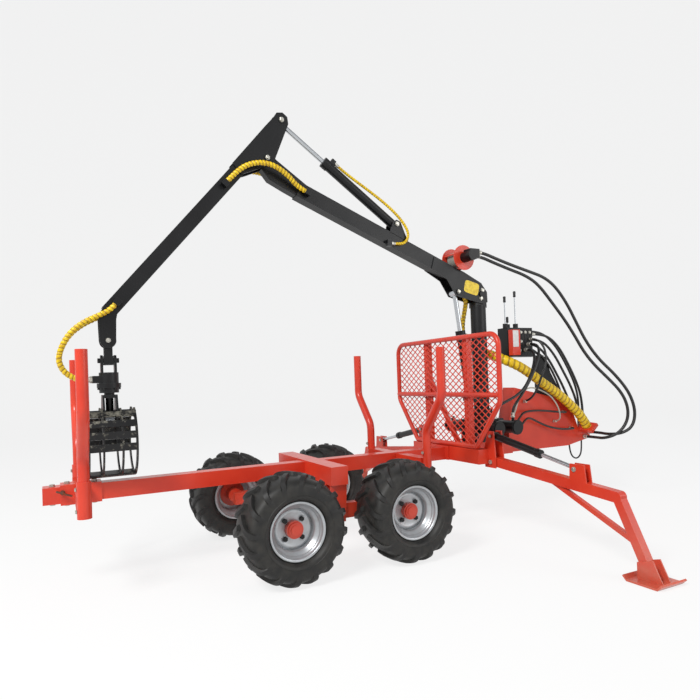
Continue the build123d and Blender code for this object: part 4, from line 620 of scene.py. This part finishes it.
# Grapple jaws: flame-cut sides and flat slats, painted black and scraped by timber, so that grey steel and a
# little rust show through in patches, most on the top slats.
scraped_paint, tree = empty_material("scraped_black_paint")
where = node(tree, "TexCoord").outputs["Object"]
scrape = node(tree, "TexNoise", {"Vector": where, "Scale": 1 / 0.035, "Detail": 9.0, "Roughness": 0.65})
spot = node(tree, "SeparateXYZ", {"Vector": where})
high = node(tree, "MapRange",
            {"Value": spot.outputs["Z"], "From Min": 0.98, "From Max": 1.06, "To Min": 0.0, "To Max": 0.16})
level_up = node(tree, "Math", {0: scrape, 1: high}, operation="ADD")
bare = node(tree, "MapRange", {"Value": level_up, "From Min": 0.56, "From Max": 0.64})
paint = node(tree, "TexNoise", {"Vector": where, "Scale": 1 / 0.15, "Detail": 4.0})
dark = node(tree, "ValToRGB", {"Fac": paint}, stops=((0.0, "#0C0C0D"), (1.0, "#1C1C1D")))
metal = node(tree, "ValToRGB", {"Fac": scrape}, stops=((0.5, "#5C5A52"), (0.75, "#8B887C")))
coat = node(tree, "Mix", {"Factor": bare, "A": dark, "B": metal}, data_type="RGBA")
gloss = node(tree, "MapRange", {"Value": bare, "To Min": 0.36, "To Max": 0.58})
shine = node(tree, "MapRange", {"Value": bare, "To Min": 0.0, "To Max": 0.5})
jaw_paint = node(tree, "BsdfPrincipled", {
    "Base Color": coat, "Roughness": gloss, "Metallic": shine, "Specular IOR Level": 0.35})
node(tree, "OutputMaterial", {"Surface": jaw_paint})
dress(["jaw_left", "jaw_right"], scraped_paint)

# Valve: a bank of black spools with three hand levers, each a chromed stem with a black plastic grip over a
# rubber boot, and beside them a red steel case with a bare white panel. Moulded plastic is dull, with a grain.
plastic_grip, tree = empty_material("black_moulded_plastic")
where = node(tree, "TexCoord").outputs["Object"]
# The grain is about 0.5 mm, and drawn at 3 mm to show
grain = node(tree, "TexNoise", {"Vector": where, "Scale": 1 / 0.003, "Detail": 3.0})
tone = node(tree, "ValToRGB", {"Fac": grain}, stops=((0.0, "#111112"), (1.0, "#1E1E1F")))
bump = node(tree, "Bump", {"Height": grain, "Strength": 0.2, "Distance": 0.0005})
plastic = node(tree, "BsdfPrincipled", {"Base Color": tone, "Roughness": 0.5, "Normal": bump})
node(tree, "OutputMaterial", {"Surface": plastic})
# Levers: X, Y and top. Boots stand on the block's top, and the stems show from just under the boots' tops
LEVERS = [(1262.0, -30.0, 1875.0), (1378.0, -30.0, 1925.0), (1332.0, 20.0, 1704.0)]
BLOCK_TOP, BOOT_TOP, STEM_FOOT = 1600, 1640, 1637
# Grip's outline as (radius, distance below its top)
GRIP = [(0, 54), (8, 54), (10.5, 52), (12, 44), (11, 34), (11.4, 20), (12, 8), (9, 1.5), (0, 0)]
boot = [(21.5 - 1.7 * k - (2.5 if k % 2 else 0), BLOCK_TOP + 5.2 * k) for k in range(8)]
boot = turned([(0, BLOCK_TOP), *boot, (0, BOOT_TOP)], 28)
stems, grips = [], []
for x, y, top in LEVERS:
    stem = turned([(0, STEM_FOOT), (5.5, STEM_FOOT), (5.5, top - 40), (0, top - 38)], 20)
    grip = turned([(radius, top - below) for radius, below in GRIP], 24)
    stems.append(copies([stem], [((x, y, 0), (0, 0, 1))]))
    grips.append(copies([grip, boot], [((x, y, 0), (0, 0, 1))]))
for name, groups, material, slot in (("lever_stems", stems, hard_chrome, "chrome_rod"),
                                     ("lever_grips", grips, plastic_grip, "lever_grip")):
    piece = mesh_object(name, *joined(groups), material, 45)
    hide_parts("valve_levers")
    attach(piece, "frame")
# Plugs in the block's unused ports
PLUGS = [(1400, 1560), (1450, 1560), (1500, 1560), (1400, 1480), (1385, 1400)]
plated_piece("valve_plugs", hex_bolt(11), [((x, -70, z), (0, -1, 0)) for x, z in PLUGS], "frame")

white_panel, tree = empty_material("white_enamel_panel")
where = node(tree, "TexCoord").outputs["Object"]
smudge = node(tree, "TexNoise", {"Vector": where, "Scale": 1 / 0.02, "Detail": 6.0})
tone = node(tree, "ValToRGB", {"Fac": smudge}, stops=((0.0, "#C4C4C0"), (1.0, "#E9E9E6")))
white = node(tree, "BsdfPrincipled", {"Base Color": tone, "Roughness": 0.36})
node(tree, "OutputMaterial", {"Surface": white})
# The case's skin stands 1 mm proud of its solid
# Columns: piece, lowest corner, highest corner, rounding of the edges (m), finish, slot
CASE = [("valve_case_skin", (1254, -121, 1357), (1344, -70.5, 1579), 0.004, red_enamel, "red_paint"),
        ("valve_case_panel", (1260, -123, 1430), (1322, -120.5, 1572), 0.0008, white_panel, "silver_paint")]
BOX_FACES = [(0, 2, 3, 1), (4, 5, 7, 6), (0, 1, 5, 4), (2, 6, 7, 3), (0, 4, 6, 2), (1, 3, 7, 5)]
for name, low_corner, high_corner, rounding, material, slot in CASE:
    ends = (low_corner, high_corner)
    corners = np.array([[ends[k >> axis & 1][axis] for axis in range(3)] for k in range(8)], float)
    skin = mesh_object(name, corners / 1000, BOX_FACES, material, 30)
    edges = skin.modifiers.new("edges", "BEVEL")
    edges.width, edges.segments = rounding, 3
    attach(skin, "frame")

# Hoses: rubber hydraulic hoses, those of the crane in a yellow spiral guard of hard plastic that is
# wound over them in one band, so that each turn shows as a rounded rib, with painted shade in the groove
# beside it as a darker brown. Hose rubber is a soft black with a woven wrap's fine grain.
spiral_guard, tree = empty_material("yellow_spiral_guard")
where = node(tree, "TexCoord").outputs["Object"]
grime = node(tree, "TexNoise", {"Vector": where, "Scale": 1 / 0.03, "Detail": 6.0})
tone = node(tree, "ValToRGB", {"Fac": grime}, stops=((0.3, "#CFA40C"), (0.6, "#F4D016")))
# Painted shade: the guard turns a darker brown where the groove is deep, standing in for the shade in it
painted_groove_shade = node(tree, "Attribute", attribute_name="groove_shade")
shade = node(tree, "Mix", {"Factor": painted_groove_shade.outputs["Fac"], "A": tone, "B": linear("#8A6808")},
             data_type="RGBA")
gloss = node(tree, "MapRange", {"Value": grime, "To Min": 0.28, "To Max": 0.46})
guard = node(tree, "BsdfPrincipled", {"Base Color": shade, "Roughness": gloss})
node(tree, "OutputMaterial", {"Surface": guard})

hose_rubber, tree = empty_material("black_hose_rubber")
where = node(tree, "TexCoord").outputs["Object"]
# The wrap's weave is about 1 mm, and drawn at 5 mm to show
wrap = node(tree, "TexNoise", {"Vector": where, "Scale": 1 / 0.005, "Detail": 3.0})
tone = node(tree, "ValToRGB", {"Fac": wrap}, stops=((0.0, "#0F0F0F"), (1.0, "#1D1D1D")))
bump = node(tree, "Bump", {"Height": wrap, "Strength": 0.15, "Distance": 0.0006})
hose_black = node(tree, "BsdfPrincipled", {"Base Color": tone, "Roughness": 0.4, "Normal": bump})
node(tree, "OutputMaterial", {"Surface": hose_black})


def hose_line(points):
    """Centreline read from a NURBS spline of order 3 that has the route's points as control points."""
    curve = bpy.data.curves.new("line", "CURVE")
    curve.dimensions = "3D"
    curve.resolution_u = 16
    spline = curve.splines.new("NURBS")
    spline.points.add(len(points) - 1)
    weighted = np.column_stack([np.array(points) / 1000, np.ones(len(points))])
    spline.points.foreach_set("co", weighted.ravel())
    spline.order_u = 3
    spline.use_endpoint_u = True
    holder = bpy.data.objects.new("line", curve)
    bpy.context.scene.collection.objects.link(holder)
    mesh = bpy.data.meshes.new_from_object(holder)
    line = np.empty(3 * len(mesh.vertices))
    mesh.vertices.foreach_get("co", line)
    bpy.data.objects.remove(holder)
    bpy.data.curves.remove(curve)
    bpy.data.meshes.remove(mesh)
    return line.reshape(-1, 3)


def even_line(line, step):
    """The same line with points at equal distances, by linear reading between its points."""
    run = np.concatenate([[0], np.cumsum(np.linalg.norm(np.diff(line, axis=0), axis=1))])
    at = np.linspace(0, run[-1], max(8, int(round(run[-1] / step)) + 1))
    return np.stack([np.interp(at, run, line[:, k]) for k in range(3)], -1), at


def tube_frames(line):
    """Two unit normals at each point of a line, carried along it so that they don't twist."""
    along = np.gradient(line, axis=0)
    along /= np.linalg.norm(along, axis=1)[:, None]
    seed = np.cross(along[0], [0.31, 0.87, 0.39])
    first = np.empty_like(along)
    for k, direction in enumerate(along):
        seed = seed - seed.dot(direction) * direction
        seed = seed / np.linalg.norm(seed)
        first[k] = seed
    return first, np.cross(along, first)


# A groove's depth as a share of the diameter, its limit in metres, and how sharply it falls to its bottom
GROOVE_SHARE, GROOVE_LIMIT, GROOVE_POWER = 0.13, 0.005, 1.5


def hose_piece(name, route, diameter, material, ribs=0.0, sides=16, step=0.004):
    """A tube along a route, as a cord: r = d / 2 less a groove where distance / pitch - turn is whole."""
    line, at = even_line(hose_line(route), step)
    first, second = tube_frames(line)
    angle = np.linspace(0, 2 * np.pi, sides, endpoint=False)
    phase = at[:, None] / ribs - angle[None, :] / (2 * np.pi) if ribs else np.full((len(at), sides), 0.5)
    wave = np.abs((phase % 1.0) * 2 - 1)
    depth = np.clip(wave - 0.5, 0, 1) / 0.5
    deepest = min(GROOVE_SHARE * diameter, GROOVE_LIMIT) if ribs else 0.0
    radius = diameter / 2 - deepest * depth ** GROOVE_POWER
    rings = (line[:, None, :] + radius[..., None] * (np.cos(angle)[None, :, None] * first[:, None, :]
                                                     + np.sin(angle)[None, :, None] * second[:, None, :]))
    piece = mesh_object(name, *capped(rings, line[0], line[-1]), material, 60)
    # The groove's depth, kept on the points, drives the guard's painted shade
    groove_shade = np.concatenate([depth.ravel() if ribs else np.zeros(depth.size), [0, 0]])
    piece.data.attributes.new("groove_shade", "FLOAT", "POINT").data.foreach_set("value", groove_shade)
    return piece, line


# Routes in mm from one end to the other: two to the winch, the trunk, and one up the column
WINCH_OUTER = [(872.3, -151, 2206), (935, -151, 2206), (1080, -156, 2163), (1240, -167, 2117),
               (1404, -185, 2072), (1561, -205, 2027), (1667, -230, 1944), (1765, -258, 1799),
               (1830, -290, 1640), (1895, -335, 1459), (1990, -385, 1299), (2125, -440, 1159),
               (2245, -480, 1000), (2290, -500, 838), (2262, -490, 700), (2190, -430, 640),
               (2150, -320, 630),
               (2187, -200, 634), (2187, -70.3, 634)]
WINCH_INNER = [(872.3, -126, 2178), (935, -126, 2178), (1075, -131, 2134), (1232, -142, 2087),
               (1392, -160, 2040), (1510, -184, 1966), (1625, -216, 1815), (1730, -255, 1660),
               (1800, -295, 1520), (1862, -335, 1372), (1950, -370, 1250), (2060, -412, 1135),
               (2180, -452, 1005), (2235, -470, 870), (2225, -465, 745), (2160, -420, 640),
               (2100, -320, 596),
               (2130, -200, 596), (2130, -70.3, 596)]
TRUNK_ROUTE = [(905, 104, 1545), (938.3, 112.3, 1474.9), (1022, 128, 1424), (1110, 98, 1395),
               (1165, 22, 1362), (1208, -62, 1322), (1282, -112, 1280), (1370, -136, 1230),
               (1550, -140, 1118), (1735, -138, 1015), (1895, -138, 905), (2032, -134, 795),
               (2116, -120, 695)]
COLUMN_ROUTE = [(864, 22, 1874.7), (890, 26, 1830), (899, 64, 1752), (896, 100, 1630), (903.9, 103.5, 1547)]
# Four from the valve to the nose, then two from the valve to the slew unit's ports
FRAME_ROUTES = [
    [(1540.3, -50, 1545), (1640, -50, 1545), (1760, -54, 1516), (1872, -58, 1420), (1962, -62, 1285),
     (2050, -60, 1145), (2125, -50, 1010), (2166, -34, 880), (2180, -22, 780), (2180, -22, 680.3)],
    [(1540.3, -18, 1500), (1630, -18, 1500), (1740, -20, 1462), (1848, -22, 1355), (1940, -24, 1215),
     (2025, -24, 1085), (2090, -22, 960), (2122, -20, 850), (2132, -18, 765), (2132, -18, 680.3)],
    [(1540.3, 14, 1460), (1620, 14, 1460), (1722, 14, 1414), (1820, 14, 1306), (1905, 14, 1180),
     (1985, 15, 1055), (2050, 16, 930), (2084, 17, 825), (2092, 18, 755), (2092, 18, 680.3)],
    [(1540.3, 44, 1425), (1615, 44, 1425), (1712, 44, 1374), (1802, 46, 1262), (1886, 48, 1135),
     (1968, 50, 1010), (2040, 51, 890), (2088, 52, 800), (2104, 52, 745), (2104, 52, 680.3)],
    [(1470, -70.3, 1455), (1470, -150, 1455), (1452, -225, 1420), (1385, -280, 1320), (1290, -300, 1180),
     (1185, -295, 1040), (1108, -280, 950), (1088, -270, 900), (1088, -270, 843.3)],
    [(1435, -70.3, 1405), (1435, -140, 1405), (1410, -215, 1365), (1330, -275, 1245), (1215, -300, 1090),
     (1100, -302, 1014), (978, -286, 967), (926, -276, 937), (896, -270, 885), (896, -270, 843.3)],
]
ELBOW_ROUTE = [(-1165.4, -58, 2562.5), (-1120, -58, 2615.7), (-1045, -80, 2680), (-945, -95, 2714),
               (-835, -98, 2703), (-735, -88, 2650), (-655.3, -66, 2584), (-599.5, -66, 2561.9)]
STICK_HOSE_ROUTE = [(-323.4, 0, 2820.4), (-247.7, 0, 2767.1), (-137.9, -10, 2699), (-29.2, -22, 2630.8),
                    (78.3, -36, 2557.7), (161.4, -52, 2484.6), (225, -62, 2415), (268, -66, 2345),
                    (262, -66, 2285), (225, -64, 2248), (165, -62, 2241), (110.3, -62, 2241)]
GRAPPLE_ROUTE = [(-1893.9, -64, 1709.6), (-1925, -64, 1673.2), (-1990, -70, 1640), (-2075, -76, 1598),
                 (-2150, -76, 1535), (-2198, -68, 1450), (-2216, -58, 1374), (-2192, -44, 1310),
                 (-2144, -32, 1268), (-2090, -25, 1251), (-2032.3, -24, 1252)]


def halves(route, index):
    """A route parted in the middle of one straight run."""
    middle = tuple((np.array(route[index]) + np.array(route[index + 1])) / 2)
    return route[:index + 1] + [middle], [middle] + route[index + 1:]


def mirrored(route):
    """The route on the trailer's other side."""
    return [(x, -y, z) for x, y, z in route]


outer_upper, outer_lower = halves(WINCH_OUTER, 3)
inner_upper, inner_lower = halves(WINCH_INNER, 3)
grapple_upper, grapple_lower = halves(GRAPPLE_ROUTE, 5)
# Columns: piece, routes, diameter (m), rib pitch (m), node, the two bodies that its ends hang on
HOSES = [
    ("winch_hose_upper", [outer_upper, inner_upper], 0.026, 0, "winch_hoses_upper",
     "crane_boom", "crane_column"),
    ("winch_hose_lower", [outer_lower, inner_lower], 0.026, 0, "winch_hoses_lower",
     "crane_column", "frame"),
    ("trunk_guard", [TRUNK_ROUTE], 0.084, 0.045, "trunk_hose", "crane_column", "frame"),
    ("column_guard", [COLUMN_ROUTE], 0.040, 0.030, "column_hose", "crane_boom", "crane_column"),
    ("valve_hose", FRAME_ROUTES, 0.022, 0, "valve_hoses", "frame", "frame"),
    ("elbow_guard", [ELBOW_ROUTE, mirrored(ELBOW_ROUTE)], 0.035, 0.024, "elbow_hoses",
     "crane_stick", "crane_boom"),
    ("stick_guard", [STICK_HOSE_ROUTE], 0.022, 0.020, "stick_hose", "stick_cylinder", "crane_boom"),
    ("grapple_guard_upper", [grapple_upper, mirrored(grapple_upper)], 0.033, 0.024, "grapple_hoses_upper",
     "crane_stick", "hanger"),
    ("grapple_guard_lower", [grapple_lower, mirrored(grapple_lower)], 0.033, 0.024, "grapple_hoses_lower",
     "hanger", "rotator_body"),
]
for name, routes, diameter, pitch, cad_node, from_body, to_body in HOSES:
    for count, route in enumerate(routes):
        cover = spiral_guard if pitch else hose_rubber
        piece, line = hose_piece(f"{name}_{count + 1}", route, diameter, cover, pitch)
        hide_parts(cad_node)
        if from_body == to_body:
            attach(piece, from_body)
        else:
            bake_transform(piece)

# Smaller lines round the drawbar, which the photograph shows in a tangle: service hoses from the valve and
# the slew unit to the drawbar's sides, a line of grey nylon with a waxy gloss, and a loop under the nose.
grey_nylon, tree = empty_material("grey_nylon_line")
where = node(tree, "TexCoord").outputs["Object"]
cloudy = node(tree, "TexNoise", {"Vector": where, "Scale": 1 / 0.01, "Detail": 4.0})
tone = node(tree, "ValToRGB", {"Fac": cloudy}, stops=((0.0, "#8E8D84"), (1.0, "#C4C2B4")))
nylon = node(tree, "BsdfPrincipled", {"Base Color": tone, "Roughness": 0.3})
node(tree, "OutputMaterial", {"Surface": nylon})
# Columns: piece, diameter (m), finish, route
SERVICE_LINES = [
    ("service_hose_1", 0.018, hose_rubber, [
        (1140.3, -180, 765), (1200, -178, 775), (1280, -150, 830), (1360, -115, 868), (1500, -102, 872),
        (1620, -112, 862), (1710, -142, 850), (1780, -158, 842), (1835, -145, 840), (1860, -110, 840),
        (1862, -70.3, 840)]),
    ("service_hose_2", 0.018, hose_rubber, [
        (1140.3, -230, 745), (1220, -225, 760), (1310, -170, 800), (1402, -130, 818), (1530, -110, 765),
        (1654, -108, 716), (1780, -130, 690), (1860, -156, 688), (1920, -148, 688), (1948, -112, 688),
        (1950, -70.3, 688)]),
    ("service_hose_3", 0.018, hose_rubber, [
        (1500, -70.3, 1500), (1500, -120, 1500), (1515, -180, 1470), (1532, -220, 1390), (1522, -230, 1280),
        (1475, -225, 1180), (1440, -215, 1090), (1418, -180, 1010), (1408, -125, 965), (1405, -70.3, 955)]),
    ("service_hose_4", 0.020, hose_rubber, [
        (1540.3, 28, 1575), (1640, 28, 1580), (1770, 22, 1552), (1888, 12, 1455), (1982, 6, 1325),
        (2068, 4, 1185), (2138, 6, 1050), (2170, 12, 920), (2172, 20, 800), (2168, 22, 680.3)]),
    ("service_hose_5", 0.020, hose_rubber, [
        (1540.3, -30, 1390), (1610, -30, 1390), (1700, -34, 1335), (1780, -38, 1230), (1845, -40, 1115),
        (1885, -40, 1020), (1900, -40, 944)]),
    ("nylon_line", 0.012, grey_nylon, [
        (1140.3, -130, 770), (1200, -128, 790), (1262, -115, 880), (1310, -105, 975), (1375, -105, 1050),
        (1443, -115, 1078), (1510, -135, 1060), (1592, -178, 1010), (1650, -188, 950), (1693, -186, 890),
        (1722, -178, 830), (1745, -150, 782), (1752, -112, 765), (1752, -70.3, 762)]),
    ("nose_loop", 0.014, hose_rubber, [
        (1970, -40, 536.4), (1974, -42, 470), (2000, -45, 415), (2050, -46, 392), (2100, -46, 415),
        (2126, -43, 475), (2130, -40, 565)]),
]
for name, diameter, cover, route in SERVICE_LINES:
    piece, line = hose_piece(name, route, diameter, cover)
    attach(piece, "frame")

# Hose fittings: a shell crimped on the hose and a hexagon nut, both of plated steel, at each end that is
# screwed into something. Outlines of (radius, height) are in hose diameters.
SHELL = np.array([(0, 0.2), (0.60, 0.2), (0.63, 0.9), (0.59, 1.0), (0.63, 1.1), (0.63, 1.7), (0.54, 1.8),
                  (0, 1.8)])
HEXAGON = np.array([(0, 0), (0.74, 0), (0.78, 0.06), (0.78, 0.5), (0.70, 0.58), (0, 0.58)])
# Columns: piece, ends as (place, direction out of the seat), hose diameter in mm, body
FITTINGS = [
    ("winch_motor_fittings", [(WINCH_OUTER[0], (1, 0, 0)), (WINCH_INNER[0], (1, 0, 0))], 26, "crane_boom"),
    ("winch_nose_fittings", [(WINCH_OUTER[-1], (0, -1, 0)), (WINCH_INNER[-1], (0, -1, 0))], 26, "frame"),
    ("valve_fittings", [(route[0], (1, 0, 0)) for route in FRAME_ROUTES[:4]]
     + [(route[0], (0, -1, 0)) for route in FRAME_ROUTES[4:]], 22, "frame"),
    ("port_fittings", [(route[-1], (0, 0, 1)) for route in FRAME_ROUTES], 22, "frame"),
    ("service_slew_fittings", [(SERVICE_LINES[k][3][0], (1, 0, 0)) for k in (0, 1, 3, 4, 5)], 18, "frame"),
    ("service_side_fittings", [(SERVICE_LINES[k][3][-1], (0, -1, 0)) for k in (0, 1, 2, 5)]
     + [(SERVICE_LINES[2][3][0], (0, -1, 0))], 18, "frame"),
    ("stick_cylinder_fitting",
     [(STICK_HOSE_ROUTE[0], np.subtract(STICK_HOSE_ROUTE[1], STICK_HOSE_ROUTE[0]))], 20, "stick_cylinder"),
    ("boom_fitting", [(STICK_HOSE_ROUTE[-1], (1, 0, 0))], 20, "crane_boom"),
    ("rotator_fittings", [((-2032.3, s * 24, 1252), (-1, 0, 0)) for s in (-1, 1)], 27, "rotator_body"),
]
for name, seats, thick, body in FITTINGS:
    plated_piece(name, [turned(SHELL * thick, 24), turned(HEXAGON * thick, 6)], seats, body)
